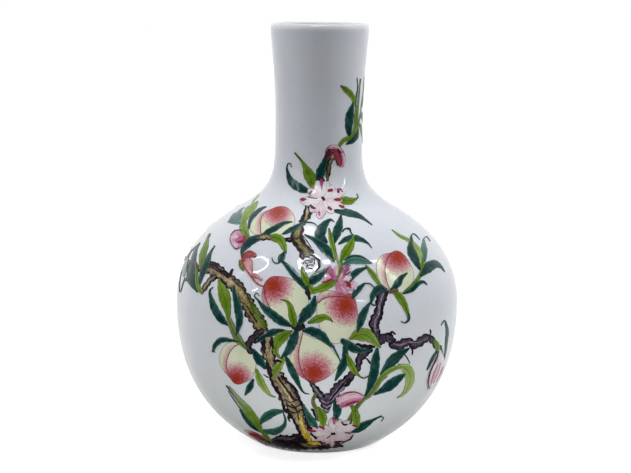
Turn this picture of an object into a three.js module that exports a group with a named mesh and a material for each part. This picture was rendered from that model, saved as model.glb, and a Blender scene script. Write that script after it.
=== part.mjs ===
// A porcelain bottle vase with a globular belly, a long gently flared neck and a hidden foot.
// It is built as such a vase is thrown: a foot ring, a lower bowl, an upper dome and a neck,
// each with a V-shaped joint edge, luted to the next with a layer of slip that leaves a ridge inside.
// Millimetres, +Z up, origin at the middle of the foot on the table.
import * as THREE from "three";

// Outer shape, from the table up
const height = 330;
const footRadius = 48;
const footRise = 28;
const footFullness = 49;
const bellyRadius = 111;
const bellyHeight = 112;
const bellyFullnessBelow = 52.5;
const bellyFullnessAbove = 52.5;
const shoulderRadius = 53;
const shoulderHeight = 192;
const shoulderRise = 36;
const shoulderFullnessBelow = 12.5;
const shoulderFullnessAbove = 24;
const neckRadius = 34;
const neckHeight = 254;
const neckFullnessBelow = 39;
const neckFullnessAbove = 28.5;
const mouthRadius = 38.5;
const mouthFlare = 4;
const mouthFullness = 22;

// Walls
const bellyWall = 5;
const lipThickness = 4;
const floorThickness = 7;
const floorSweep = 14;

// Foot
const footRingHeight = 5.5;
const footRingWidth = 6.5;
const footRingDraft = 1.5;
const footEdge = 0.9;

// Luted joints: the belly's lies at its widest level
const bellyJointHeight = bellyHeight;
const neckJointHeight = 205;
const slipThickness = 0.6;
const jointDepth = 1.5;
const jointWidth = 3;
const ridgeReach = 2.2;
const ridgeHeight = 3;
const ridgeClearance = 0.3;

// Facets
const roundSteps = 48;
const outerStep = 9.5;
const innerStep = 14;
const lipSteps = 6;
const floorSteps = 4;

const porcelain = new THREE.MeshStandardMaterial({ color: 0xdfe3e6, roughness: 0.12, metalness: 0 });
const bareClay = new THREE.MeshStandardMaterial({ color: 0xd9cdbb, roughness: 0.8, metalness: 0 });
const slip = new THREE.MeshStandardMaterial({ color: 0xe6e3dc, roughness: 0.5, metalness: 0 });

const rising = (degrees, length) => {
  const angle = THREE.MathUtils.degToRad(degrees);
  return new THREE.Vector2(length * Math.cos(angle), length * Math.sin(angle));
};

// The outer wall as four curves that share their tangents: belly, shoulder, neck and mouth.
function outerWall() {
  const foot = new THREE.Vector2(footRadius, 0);
  const belly = new THREE.Vector2(bellyRadius, bellyHeight);
  const shoulder = new THREE.Vector2(shoulderRadius, shoulderHeight);
  const neck = new THREE.Vector2(neckRadius, neckHeight);
  const mouth = new THREE.Vector2(mouthRadius, height - lipThickness / 2);
  const up = (length) => new THREE.Vector2(0, length);
  const overShoulder = (length) => rising(180 - shoulderRise, length);
  const pieces = [
    [foot, rising(footRise, footFullness), up(bellyFullnessBelow), belly],
    [belly, up(bellyFullnessAbove), overShoulder(shoulderFullnessBelow), shoulder],
    [shoulder, overShoulder(shoulderFullnessAbove), up(neckFullnessBelow), neck],
    [neck, up(neckFullnessAbove), rising(90 - mouthFlare, mouthFullness), mouth],
  ];
  const path = new THREE.CurvePath();
  for (const [from, leaving, arriving, to] of pieces) {
    const first = from.clone().add(leaving);
    const second = to.clone().sub(arriving);
    path.add(new THREE.CubicBezierCurve(from, first, second, to));
  }
  return path;
}

const outer = outerWall();
const outerLength = outer.getLength();
const outerPoint = (share) => outer.getPointAt(share);

// The wall thins evenly from the belly joint to the lip.
const wallAt = (level) => {
  const climbed = THREE.MathUtils.clamp((level - bellyJointHeight) / (height - bellyJointHeight), 0, 1);
  return THREE.MathUtils.lerp(bellyWall, lipThickness, climbed);
};

const innerPoint = (share) => {
  const point = outerPoint(share);
  const tangent = outer.getTangentAt(share);
  const inward = new THREE.Vector2(-tangent.y, tangent.x);
  return point.addScaledVector(inward, wallAt(point.y));
};

// The share of the outer wall's length at which one of its two faces reaches a level.
function shareAt(face, level) {
  let low = 0;
  let high = 1;
  for (let turn = 0; turn < 50; turn += 1) {
    const middle = (low + high) / 2;
    if (face(middle).y < level) low = middle;
    else high = middle;
  }
  return (low + high) / 2;
}

const radiusAt = (face, level) => face(shareAt(face, level)).x;

// Points up one face of the wall between two levels, the ends exactly on them.
function climb(face, from, to, step) {
  const start = shareAt(face, from);
  const end = shareAt(face, to);
  const count = Math.max(2, Math.round(((end - start) * outerLength) / step));
  const points = [];
  for (let i = 0; i <= count; i += 1) points.push(face(start + ((end - start) * i) / count));
  points[0].y = from;
  points[count].y = to;
  return points;
}

// A joint edge from one radius to another, with the V that centres one section on the other.
function jointEdge(fromRadius, toRadius, level, middle) {
  const side = Math.sign(toRadius - fromRadius);
  return [
    new THREE.Vector2(fromRadius, level),
    new THREE.Vector2(middle - (side * jointWidth) / 2, level),
    new THREE.Vector2(middle, level - jointDepth),
    new THREE.Vector2(middle + (side * jointWidth) / 2, level),
    new THREE.Vector2(toRadius, level),
  ];
}

// A joint across the wall: the faces that it meets below and above, and where its V lies.
function wallJoint(level) {
  const top = level + slipThickness;
  const joint = {
    bottom: level,
    top,
    outerBelow: radiusAt(outerPoint, level),
    innerBelow: radiusAt(innerPoint, level),
    outerAbove: radiusAt(outerPoint, top),
    innerAbove: radiusAt(innerPoint, top),
  };
  joint.middle = (joint.outerBelow + joint.innerBelow + joint.outerAbove + joint.innerAbove) / 4;
  return joint;
}

function footJoint() {
  const top = footRingHeight + slipThickness;
  const joint = {
    bottom: footRingHeight,
    top,
    outerBelow: radiusAt(outerPoint, footRingHeight),
    outerAbove: radiusAt(outerPoint, top),
    innerBelow: footRadius - footRingWidth - footRingDraft,
    innerAbove: footRadius - footRingWidth - footRingDraft,
  };
  joint.middle = (joint.outerBelow + joint.innerBelow) / 2;
  return joint;
}

// Turns a closed outline of radius and height round the axis.
function turned(name, outline, material) {
  const closed = [...outline, outline[0].clone()];
  const geometry = new THREE.LatheGeometry(closed, roundSteps);
  geometry.rotateX(Math.PI / 2);
  const mesh = new THREE.Mesh(geometry, material);
  mesh.name = name;
  return mesh;
}

// The bare ring that the vase stands on, its outside carrying on the curve of the belly.
function footRing(joint) {
  const innerRadius = footRadius - footRingWidth;
  const outside = climb(outerPoint, footEdge, joint.bottom, outerStep);
  const outline = [
    new THREE.Vector2(innerRadius + footEdge, 0),
    new THREE.Vector2(footRadius - footEdge, 0),
    ...outside.slice(0, -1),
    ...jointEdge(joint.outerBelow, joint.innerBelow, joint.bottom, joint.middle),
    new THREE.Vector2(innerRadius, footEdge),
  ];
  return turned("foot_ring", outline, bareClay);
}

// The thrown bowl with the floor, up to the joint at the widest part of the belly.
function lowerBelly(below, above) {
  const floorLevel = below.top + floorThickness;
  const wallFoot = radiusAt(innerPoint, floorLevel);
  const sweepEnd = shareAt(innerPoint, floorLevel) + floorSweep / outerLength;
  const sweep = new THREE.QuadraticBezierCurve(
    innerPoint(sweepEnd),
    new THREE.Vector2(wallFoot, floorLevel),
    new THREE.Vector2(wallFoot - floorSweep, floorLevel),
  );
  const inside = climb(innerPoint, innerPoint(sweepEnd).y, above.bottom, innerStep).reverse();
  const outline = [
    new THREE.Vector2(0, below.top),
    ...jointEdge(below.innerAbove, below.outerAbove, below.top, below.middle).slice(0, -1),
    ...climb(outerPoint, below.top, above.bottom, outerStep).slice(0, -1),
    ...jointEdge(above.outerBelow, above.innerBelow, above.bottom, above.middle).slice(0, -1),
    ...inside.slice(0, -1),
    ...sweep.getPoints(floorSteps),
    new THREE.Vector2(0, floorLevel),
  ];
  return turned("lower_belly", outline, porcelain);
}

// The thrown dome from the belly joint in over the shoulder to the neck joint.
function upperBelly(below, above) {
  const outline = [
    ...jointEdge(below.innerAbove, below.outerAbove, below.top, below.middle).slice(0, -1),
    ...climb(outerPoint, below.top, above.bottom, outerStep).slice(0, -1),
    ...jointEdge(above.outerBelow, above.innerBelow, above.bottom, above.middle).slice(0, -1),
    ...climb(innerPoint, below.top, above.bottom, innerStep).reverse().slice(0, -1),
  ];
  return turned("upper_belly", outline, porcelain);
}

// The thrown neck with its spread base and its half-round lip.
function neckWithLip(below) {
  const lipLevel = height - lipThickness / 2;
  const lipCentre = mouthRadius - lipThickness / 2;
  const lip = [];
  for (let i = 1; i < lipSteps; i += 1) {
    const angle = (Math.PI * i) / lipSteps;
    const reach = new THREE.Vector2(Math.cos(angle), Math.sin(angle)).multiplyScalar(lipThickness / 2);
    lip.push(reach.add(new THREE.Vector2(lipCentre, lipLevel)));
  }
  const outside = climb(outerPoint, below.top, lipLevel, outerStep);
  const insideTop = lipLevel - lipThickness / 2;
  const inside = climb(innerPoint, below.top, insideTop, innerStep).reverse();
  const outline = [
    ...jointEdge(below.innerAbove, below.outerAbove, below.top, below.middle).slice(0, -1),
    ...outside,
    ...lip,
    new THREE.Vector2(lipCentre - lipThickness / 2, lipLevel),
    ...inside.slice(0, -1),
  ];
  return turned("neck", outline, porcelain);
}

// A layer of luting slip between two sections. Inside the vase it stands out as a soft ridge.
function lutingSlip(name, joint, hasRidge) {
  const under = jointEdge(joint.outerBelow, joint.innerBelow, joint.bottom, joint.middle);
  const over = jointEdge(joint.innerAbove, joint.outerAbove, joint.top, joint.middle);
  const ridge = [];
  if (hasRidge) {
    const low = joint.bottom - ridgeHeight / 2;
    const high = joint.top + ridgeHeight / 2;
    const crest = (joint.innerBelow + joint.innerAbove) / 2 - ridgeReach;
    ridge.push(new THREE.Vector2(joint.innerBelow - ridgeClearance, joint.bottom));
    ridge.push(new THREE.Vector2(radiusAt(innerPoint, low) - ridgeClearance, low));
    ridge.push(new THREE.Vector2(crest, joint.bottom));
    ridge.push(new THREE.Vector2(crest, joint.top));
    ridge.push(new THREE.Vector2(radiusAt(innerPoint, high) - ridgeClearance, high));
    ridge.push(new THREE.Vector2(joint.innerAbove - ridgeClearance, joint.top));
  }
  const outline = [...under, ...ridge, ...over].reverse();
  return turned(name, outline, slip);
}

const foot = footJoint();
const belly = wallJoint(bellyJointHeight);
const neck = wallJoint(neckJointHeight);

const vase = new THREE.Group();
vase.add(footRing(foot));
vase.add(lutingSlip("foot_luting", foot, false));
vase.add(lowerBelly(foot, belly));
vase.add(lutingSlip("belly_luting", belly, true));
vase.add(upperBelly(belly, neck));
vase.add(lutingSlip("neck_luting", neck, true));
vase.add(neckWithLip(neck));

export default vase;
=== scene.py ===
import math
import bpy
import numpy as np
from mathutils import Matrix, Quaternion, Vector


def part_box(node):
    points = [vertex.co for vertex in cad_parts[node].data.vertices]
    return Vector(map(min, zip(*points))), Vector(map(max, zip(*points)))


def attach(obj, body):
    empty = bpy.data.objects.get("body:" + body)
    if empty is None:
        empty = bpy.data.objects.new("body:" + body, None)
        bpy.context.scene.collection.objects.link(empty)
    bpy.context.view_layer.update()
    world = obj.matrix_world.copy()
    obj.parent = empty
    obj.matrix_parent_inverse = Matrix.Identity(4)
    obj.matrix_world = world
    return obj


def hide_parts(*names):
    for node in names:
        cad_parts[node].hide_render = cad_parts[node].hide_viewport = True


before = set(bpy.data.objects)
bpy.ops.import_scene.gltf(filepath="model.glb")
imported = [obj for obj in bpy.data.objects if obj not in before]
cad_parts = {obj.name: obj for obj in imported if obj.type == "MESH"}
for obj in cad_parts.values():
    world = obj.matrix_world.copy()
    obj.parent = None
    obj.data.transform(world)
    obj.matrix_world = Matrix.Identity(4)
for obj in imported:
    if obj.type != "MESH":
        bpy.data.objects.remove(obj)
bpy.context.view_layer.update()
bpy.ops.object.select_all(action="DESELECT")


# The camera stands a metre and a half in front of the vase, just above its mouth, and looks down a little.
# A long lens keeps its sides nearly parallel, and the camera leans by a little over half a degree.
photo_width = 631
photo_height = 473
eye = Vector((0.0, -1.5, 0.375))
aim = Vector((0.0, 0.0, 0.16268))
camera_lean = 0.0109
focal_length_in_pixels = 1923
pixel_column_of_the_axis = 317.63
sensor_width = 36.0
farthest_seen = 50.0

bpy.ops.object.camera_add(location=eye)
camera = bpy.context.object
camera.name = "camera"
looking = (aim - eye).to_track_quat("-Z", "Y")
leaning = Quaternion((0.0, 0.0, 1.0), camera_lean)
camera.rotation_euler = (looking @ leaning).to_euler()
camera.data.sensor_width = sensor_width
camera.data.lens = sensor_width * focal_length_in_pixels / photo_width
camera.data.shift_x = (photo_width / 2 - pixel_column_of_the_axis) / photo_width
camera.data.clip_end = farthest_seen
bpy.context.scene.camera = camera


# The foot is a narrow ring of bare clay, left free of glaze so that the vase doesn't stick in the kiln.
# It is turned on the wheel, its outside carries on the round of the belly, and its edges are wiped soft.
foot_radius = 0.048
foot_rise = math.radians(28)
foot_fullness = 0.049
belly_radius = 0.111
belly_level = 0.112
belly_fullness = 0.0525
foot_ring_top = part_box("foot_ring")[1].z
foot_ring_inside = 0.0415
foot_ring_inside_top = 0.040
foot_edge = 0.0009
foot_row = 0.0012
foot_bevel = 0.0003
foot_bevel_steps = 2
bevelled_above = math.radians(30)
curve_points = 241
edge_row = 0.0002
steps_round = 192
turning_weld = 0.000005
smooth_below = math.radians(40)
grain_low = 0.3
grain_high = 0.7


def drawn_curve(start, leaving, arriving, end):
    share = np.linspace(0.0, 1.0, curve_points)[:, None]
    start = np.array(start)
    end = np.array(end)
    first = start + np.array(leaving)
    second = end - np.array(arriving)
    rest = 1 - share
    return rest**3 * start + 3 * rest**2 * share * first + 3 * rest * share**2 * second + share**3 * end


def heading(angle, length):
    return (length * math.cos(angle), length * math.sin(angle))


outside = drawn_curve(
    (foot_radius, 0.0), heading(foot_rise, foot_fullness), (0.0, belly_fullness), (belly_radius, belly_level))


def rows_between(face, low, high, spacing):
    lengths = np.concatenate([[0.0], np.cumsum(np.linalg.norm(np.diff(face, axis=0), axis=1))])
    start = np.interp(low, face[:, 1], lengths)
    end = np.interp(high, face[:, 1], lengths)
    count = max(2, round((end - start) / spacing))
    stops = np.linspace(start, end, count + 1)
    stops = np.concatenate([stops[:1], [start + edge_row], stops[1:-1], [end - edge_row], stops[-1:]])
    return [(np.interp(s, lengths, face[:, 0]), np.interp(s, lengths, face[:, 1])) for s in stops]


def turned(name, outline):
    bpy.ops.object.select_all(action="DESELECT")
    bpy.ops.mesh.primitive_circle_add(vertices=len(outline))
    piece = bpy.context.object
    piece.name = name
    piece.data.name = name
    for corner, (radius, level) in zip(piece.data.vertices, outline):
        corner.co = (radius, 0.0, level)
    bpy.ops.object.mode_set(mode="EDIT")
    bpy.ops.mesh.select_mode(type="EDGE")
    bpy.ops.mesh.select_all(action="DESELECT")
    bpy.ops.object.mode_set(mode="OBJECT")
    for edge in piece.data.edges:
        edge.select = all(outline[i][0] == 0.0 for i in edge.vertices)
    bpy.ops.object.mode_set(mode="EDIT")
    bpy.ops.mesh.delete(type="EDGE")
    bpy.ops.object.mode_set(mode="OBJECT")
    bpy.ops.object.modifier_add(type="SCREW")
    wheel = piece.modifiers[0]
    wheel.steps = steps_round
    wheel.render_steps = steps_round
    bpy.ops.object.modifier_apply(modifier=wheel.name)
    bpy.ops.object.mode_set(mode="EDIT")
    bpy.ops.mesh.select_all(action="SELECT")
    bpy.ops.mesh.remove_doubles(threshold=turning_weld)
    bpy.ops.mesh.normals_make_consistent(inside=False)
    bpy.ops.object.mode_set(mode="OBJECT")
    bpy.ops.object.shade_smooth_by_angle(angle=smooth_below)
    return piece


def finish_of(name):
    material = bpy.data.materials.new(name)
    material.use_nodes = True
    return material, material.node_tree.nodes["Principled BSDF"]


def add_node(material, kind, settings=None, **inputs):
    made = material.node_tree.nodes.new(kind)
    for key, value in (settings or {}).items():
        setattr(made, key, value)
    for key, value in inputs.items():
        socket = made.inputs[int(key[1:])] if key[1:].isdigit() else made.inputs[key.replace("_", " ")]
        if isinstance(value, bpy.types.NodeSocket):
            material.node_tree.links.new(value, socket)
        else:
            socket.default_value = value
    return made


def grain(material, scale, detail=3.0):
    place = add_node(material, "ShaderNodeTexCoord").outputs["Object"]
    return add_node(material, "ShaderNodeTexNoise", Vector=place, Scale=scale, Detail=detail).outputs["Fac"]


def spread(material, value, low, high, to_low, to_high):
    ranged = add_node(material, "ShaderNodeMapRange", Value=value, i1=low, i2=high, i3=to_low, i4=to_high)
    return ranged.outputs["Result"]


def blended(material, share, under, over):
    mixed = add_node(material, "ShaderNodeMix", {"data_type": "RGBA"}, i0=share, i6=under, i7=over)
    return mixed.outputs[2]


def joined(material, source, shader, socket):
    material.node_tree.links.new(source, shader.inputs[socket])


def embossed(material, height, strength, depth, shader):
    bump = add_node(material, "ShaderNodeBump", Height=height, Strength=strength, Distance=depth)
    joined(material, bump.outputs["Normal"], shader, "Normal")


def cloudy(material, scale, low, high, detail=3.0):
    return spread(material, grain(material, scale, detail), grain_low, grain_high, low, high)


def rubbed(material, scale, smoothest, roughest, shader):
    joined(material, cloudy(material, scale, smoothest, roughest), shader, "Roughness")


foot_outline = [(foot_ring_inside + foot_edge, 0.0), (foot_radius - foot_edge, 0.0)]
foot_outline += rows_between(outside, foot_edge, foot_ring_top, foot_row)
foot_outline += [(foot_ring_inside_top, foot_ring_top)]
foot_outline += [(foot_ring_inside, foot_edge)]
foot = turned("foot", foot_outline)
bpy.ops.object.modifier_add(type="BEVEL")
foot.modifiers[0].width = foot_bevel
foot.modifiers[0].segments = foot_bevel_steps
foot.modifiers[0].limit_method = "ANGLE"
foot.modifiers[0].angle_limit = bevelled_above
bpy.ops.object.modifier_apply(modifier=foot.modifiers[0].name)

bare_clay, clay = finish_of("bare_clay")
clay_light = (0.74, 0.66, 0.55, 1.0)
clay_warm = (0.58, 0.46, 0.33, 1.0)
clay_speck = (0.32, 0.24, 0.17, 1.0)
clay_cloud = spread(bare_clay, grain(bare_clay, 60.0), 0.35, 0.7, 0.0, 0.6)
clay_colour = blended(bare_clay, clay_cloud, clay_light, clay_warm)
speck_share = spread(bare_clay, grain(bare_clay, 900.0, 1.0), 0.70, 0.76, 0.0, 0.7)
clay_colour = blended(bare_clay, speck_share, clay_colour, clay_speck)
joined(bare_clay, clay_colour, clay, "Base Color")
rubbed(bare_clay, 400.0, 0.65, 0.9, clay)
embossed(bare_clay, grain(bare_clay, 2500.0), 0.5, 0.0001, clay)
foot.data.materials.append(bare_clay)
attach(foot, "root")
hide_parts("foot_ring")


# Thin clay slip lutes the foot ring to the bowl. It shows as a fine line where the glaze ends.
# It is brushed on wet, squeezed out level with the wall and fired with the vase.
foot_slip_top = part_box("foot_luting")[1].z
slip_drawn_in = 0.0001
slip_outline = [(foot_ring_inside_top, foot_ring_top)]
for level in (foot_ring_top, foot_slip_top):
    slip_outline.append((np.interp(level, outside[:, 1], outside[:, 0]) - slip_drawn_in, level))
slip_outline += [(foot_ring_inside_top, foot_slip_top)]
foot_slip = turned("foot_slip", slip_outline)

luting_slip, slip = finish_of("luting_slip")
slip_pale = (0.80, 0.78, 0.73, 1.0)
slip_grey = (0.66, 0.63, 0.57, 1.0)
slip_cloud = spread(luting_slip, grain(luting_slip, 250.0), 0.35, 0.7, 0.0, 0.8)
joined(luting_slip, blended(luting_slip, slip_cloud, slip_pale, slip_grey), slip, "Base Color")
rubbed(luting_slip, 700.0, 0.4, 0.65, slip)
embossed(luting_slip, grain(luting_slip, 600.0), 0.4, 0.0002, slip)
foot_slip.data.materials.append(luting_slip)
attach(foot_slip, "root")
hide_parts("foot_luting")


# The bowl is the lower half of the belly, thrown with its floor in one piece of white porcelain.
# A clear glaze lies over it inside and out. Outside it runs on over the joints and down the foot,
# and it is wiped off just above the edge that the vase stands on.
shoulder_radius = 0.053
shoulder_level = 0.192
shoulder_rise = math.radians(36)
shoulder_fullness = 0.0125
belly_wall = 0.005
lip_thickness = 0.004
rim_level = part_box("neck")[1].z
bowl_bottom = foot_slip_top
belly_seam = (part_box("lower_belly")[1].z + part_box("belly_luting")[1].z) / 2
floor_thickness = 0.007
floor_sweep = 0.014
sweep_steps = 8
rings_under_the_floor = (0.0, 0.012, 0.026, 0.0385)
rings_on_the_floor = (0.024, 0.012, 0.0)
outer_row = 0.0015
inner_row = 0.003
glaze_ior = 1.52
wiped_edge = 0.0012
glaze_reach = 0.0004


def climb_of(face):
    climb = np.gradient(face, axis=0)
    return climb / np.linalg.norm(climb, axis=1)[:, None]


def inner_face(face):
    climb = climb_of(face)
    thinned = np.clip((face[:, 1] - belly_level) / (rim_level - belly_level), 0.0, 1.0)
    wall = belly_wall + (lip_thickness - belly_wall) * thinned
    return face + np.stack([-climb[:, 1], climb[:, 0]], axis=1) * wall[:, None]


dome_curve = drawn_curve(
    (belly_radius, belly_level), (0.0, belly_fullness),
    heading(math.pi - shoulder_rise, shoulder_fullness), (shoulder_radius, shoulder_level))
outside = np.vstack([outside, dome_curve[1:]])
inside = inner_face(outside)
floor_level = bowl_bottom + floor_thickness
wall_foot = np.interp(floor_level, inside[:, 1], inside[:, 0])
inside_lengths = np.concatenate([[0.0], np.cumsum(np.linalg.norm(np.diff(inside, axis=0), axis=1))])
sweep_end = np.interp(floor_level, inside[:, 1], inside_lengths) + floor_sweep
sweep_radius = np.interp(sweep_end, inside_lengths, inside[:, 0])
sweep_level = np.interp(sweep_end, inside_lengths, inside[:, 1])

bowl_outline = [(radius, bowl_bottom) for radius in rings_under_the_floor]
bowl_outline += rows_between(outside, bowl_bottom, belly_seam, outer_row)
bowl_outline += rows_between(inside, sweep_level, belly_seam, inner_row)[::-1]
for turn in np.linspace(0.0, 1.0, sweep_steps + 1)[1:]:
    radius = (1 - turn) ** 2 * sweep_radius + 2 * (1 - turn) * turn * wall_foot
    radius += turn**2 * (wall_foot - floor_sweep)
    level = (1 - turn) ** 2 * sweep_level + (1 - (1 - turn) ** 2) * floor_level
    bowl_outline.append((radius, level))
bowl_outline += [(radius, floor_level) for radius in rings_on_the_floor]
bowl = turned("bowl", bowl_outline)

white_porcelain, glaze = finish_of("white_porcelain")
glaze_white = (0.775, 0.805, 0.86, 1.0)
glaze_blue = (0.735, 0.77, 0.845, 1.0)
glaze_pinhole = (0.52, 0.52, 0.50, 1.0)
glaze_cloud = spread(white_porcelain, grain(white_porcelain, 14.0), 0.35, 0.65, 0.0, 1.0)
glaze_colour = blended(white_porcelain, glaze_cloud, glaze_white, glaze_blue)
glaze_pooled = (0.765, 0.80, 0.80, 1.0)
glaze_place = add_node(white_porcelain, "ShaderNodeTexCoord").outputs["Object"]
glaze_level = add_node(white_porcelain, "ShaderNodeSeparateXYZ", Vector=glaze_place).outputs["Z"]
pooled_share = spread(white_porcelain, glaze_level, 0.03, 0.13, 0.85, 0.0)
glaze_colour = blended(white_porcelain, pooled_share, glaze_colour, glaze_pooled)
# Towards the lip the glaze turns whiter: partly the glaze running thin over the rim, partly a painted
# highlight on the lip band.
glaze_thin_and_highlight = (0.86, 0.88, 0.92, 1.0)
thin_glaze_and_highlight_at_the_lip = spread(white_porcelain, glaze_level, 0.3238, 0.3272, 0.0, 1.0)
glaze_colour = blended(white_porcelain, thin_glaze_and_highlight_at_the_lip, glaze_colour, glaze_thin_and_highlight)
pinhole_share = spread(white_porcelain, grain(white_porcelain, 700.0, 0.0), 0.80, 0.83, 0.0, 0.8)
glaze_colour = blended(white_porcelain, pinhole_share, glaze_colour, glaze_pinhole)
joined(white_porcelain, glaze_colour, glaze, "Base Color")
rubbed(white_porcelain, 90.0, 0.03, 0.07, glaze)
glaze.inputs["IOR"].default_value = glaze_ior
embossed(white_porcelain, grain(white_porcelain, 45.0, 1.0), 0.07, 0.0006, glaze)
bowl.data.materials.append(white_porcelain)
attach(bowl, "root")
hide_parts("lower_belly")

for covered in (foot, foot_slip):
    covered.data.materials.append(white_porcelain)
    for face in covered.data.polygons:
        off_axis = math.hypot(face.center.x, face.center.y)
        faces_out = off_axis > np.interp(face.center.z, outside[:, 1], outside[:, 0]) - glaze_reach
        if faces_out and face.center.z > wiped_edge:
            face.material_index = 1


# The dome closes the belly over the shoulder. It is thrown by itself, upside down, and luted on the bowl.
# The glaze covers the joint outside, so that only a soft ridge inside tells of it.
neck_spread = 0.024
throat_radius = 0.034
throat_level = 0.254
throat_fullness_below = 0.039
neck_seam = (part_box("upper_belly")[1].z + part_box("neck_luting")[1].z) / 2
neck_curve = drawn_curve(
    (shoulder_radius, shoulder_level), heading(math.pi - shoulder_rise, neck_spread),
    (0.0, throat_fullness_below), (throat_radius, throat_level))
outside = np.vstack([outside, neck_curve[1:]])
inside = inner_face(outside)
dome_outline = rows_between(outside, belly_seam, neck_seam, outer_row)
dome_outline += rows_between(inside, belly_seam, neck_seam, inner_row)[::-1]
dome = turned("dome", dome_outline)
dome.data.materials.append(white_porcelain)
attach(dome, "root")
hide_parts("upper_belly")


# The neck is a thrown tube with a spread foot and a small flare. Its lip is rounded with a wet sponge.
# It is luted on the shoulder last, while both are leather hard.
throat_fullness_above = 0.0285
mouth_radius = 0.0385
mouth_flare = math.radians(4)
mouth_fullness = 0.022
lip_level = rim_level - lip_thickness / 2
lip_drop = 0.0042
lip_start = rim_level - lip_drop
outer_lip_steps = 10
inner_lip_steps = 6
mouth_curve = drawn_curve(
    (throat_radius, throat_level), (0.0, throat_fullness_above),
    heading(math.pi / 2 - mouth_flare, mouth_fullness), (mouth_radius, lip_level))
outside = np.vstack([outside, mouth_curve[1:]])
inside = inner_face(outside)
neck_outline = rows_between(outside, neck_seam, lip_start, outer_row)
lip_middle = mouth_radius - lip_thickness / 2
lip_reach = np.interp(lip_start, outside[:, 1], outside[:, 0]) - lip_middle
for angle in np.linspace(0.0, math.pi / 2, outer_lip_steps + 1)[1:]:
    neck_outline.append((lip_middle + lip_reach * math.cos(angle), lip_start + lip_drop * math.sin(angle)))
for angle in np.linspace(math.pi / 2, math.pi, inner_lip_steps + 1)[1:-1]:
    across = lip_thickness / 2 * math.cos(angle)
    above = lip_thickness / 2 * math.sin(angle)
    neck_outline.append((lip_middle + across, lip_level + above))
neck_outline += [(lip_middle - lip_thickness / 2, lip_level)]
neck_outline += rows_between(inside, neck_seam, lip_level - lip_thickness / 2, inner_row)[::-1]
neck = turned("neck_with_lip", neck_outline)
neck.data.materials.append(white_porcelain)
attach(neck, "root")
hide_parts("neck")


# Two soft ridges run round inside, at the belly joint and at the foot of the neck.
# They are the slip that was squeezed out of the joints, too far in to be wiped away.
ridge_share = 0.45
ridge_reach = 0.0028
ridge_foot = 0.0006
ridge_hold = 0.0012
ridge_steps = 10
ridge_back_steps = 4


def slip_ridge(name, node, seam):
    low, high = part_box(node)
    reach = (high.z - low.z) / 2 * ridge_share
    outline = []
    for angle in np.linspace(-math.pi / 2, math.pi / 2, ridge_steps + 1):
        level = seam + reach * math.sin(angle)
        back = np.interp(level, inside[:, 1], inside[:, 0])
        outline.append((back + ridge_foot - ridge_reach * math.cos(angle), level))
    for share in np.linspace(1.0, -1.0, ridge_back_steps + 1)[1:-1]:
        level = seam + reach * share
        outline.append((np.interp(level, inside[:, 1], inside[:, 0]) + ridge_hold, level))
    ridge = turned(name, outline[::-1])
    ridge.data.materials.append(luting_slip)
    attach(ridge, "root")
    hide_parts(node)


slip_ridge("belly_ridge", "belly_luting", belly_seam)
slip_ridge("neck_ridge", "neck_luting", neck_seam)


# The painting is enamel, laid on the fired glaze with a brush and fired again at a low heat.
# Each stroke stands a little proud of the glaze. These are the leaves of the spray that climbs the neck.
looking_along = np.array((aim - eye).normalized())
sideways = np.cross(looking_along, (0.0, 0.0, 1.0))
sideways = sideways / np.linalg.norm(sideways)
upwards = np.cross(sideways, looking_along)
climb = climb_of(outside)
nearest_reach = 1.36
farthest_reach = 1.60
reach_steps = 241
bend_steps = 10
fewest_steps = 6
end_shares = np.array([1.0, 0.75, 0.4])
flattest_end = 0.98
end_line = 0.0002
knot_bite = 1.6
knot_sway = 0.7
knot_shift = 7
left_waves = (0.50, 0.31)
right_waves = (0.43, 0.27)
shortest_step = 1e-6
full_width = 2.2
to_millimetres = 1000
enamel_depth = 0.0008
enamel_weld = 0.000002
enamel_smooth_below = math.radians(50)
enamel_mirror = 0.25


def on_the_wall(spots, proud):
    spots = np.asarray(spots, float)
    across = spots[:, 0] - pixel_column_of_the_axis
    above = photo_height / 2 - spots[:, 1]
    right = across * math.cos(camera_lean) - above * math.sin(camera_lean)
    up = above * math.cos(camera_lean) + across * math.sin(camera_lean)
    ways = looking_along * focal_length_in_pixels + right[:, None] * sideways + up[:, None] * upwards
    ways = ways / np.linalg.norm(ways, axis=1)[:, None]
    reaches = np.linspace(nearest_reach, farthest_reach, reach_steps)
    tried = np.array(eye) + ways[:, None, :] * reaches[None, :, None]
    wall_there = np.interp(tried[..., 2], outside[:, 1], outside[:, 0])
    gap = np.hypot(tried[..., 0], tried[..., 1]) - wall_there
    order = np.arange(len(spots))
    hits = (gap < 0).any(axis=1)
    far = np.where(hits, np.argmax(gap < 0, axis=1), np.argmin(gap, axis=1))
    near = np.where(hits, np.maximum(far - 1, 0), far)
    fall = gap[order, near] - gap[order, far]
    share = np.where(hits, gap[order, near] / np.where(fall == 0, 1, fall), 0.0)
    places = tried[order, near] + (tried[order, far] - tried[order, near]) * share[:, None]
    return stood_off(places, proud)


def stood_off(places, proud):
    off_axis = np.hypot(places[:, 0], places[:, 1])
    wall_there = np.interp(places[:, 2], outside[:, 1], outside[:, 0])
    lean_out = np.interp(places[:, 2], outside[:, 1], climb[:, 1])
    lean_in = np.interp(places[:, 2], outside[:, 1], climb[:, 0])
    round_x = places[:, 0] / off_axis
    round_y = places[:, 1] / off_axis
    facing = np.stack([round_x * lean_out, round_y * lean_out, -lean_in], axis=1)
    seated = np.stack([round_x * wall_there, round_y * wall_there, places[:, 2]], axis=1)
    return seated + facing * np.asarray(proud)[..., None]


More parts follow.
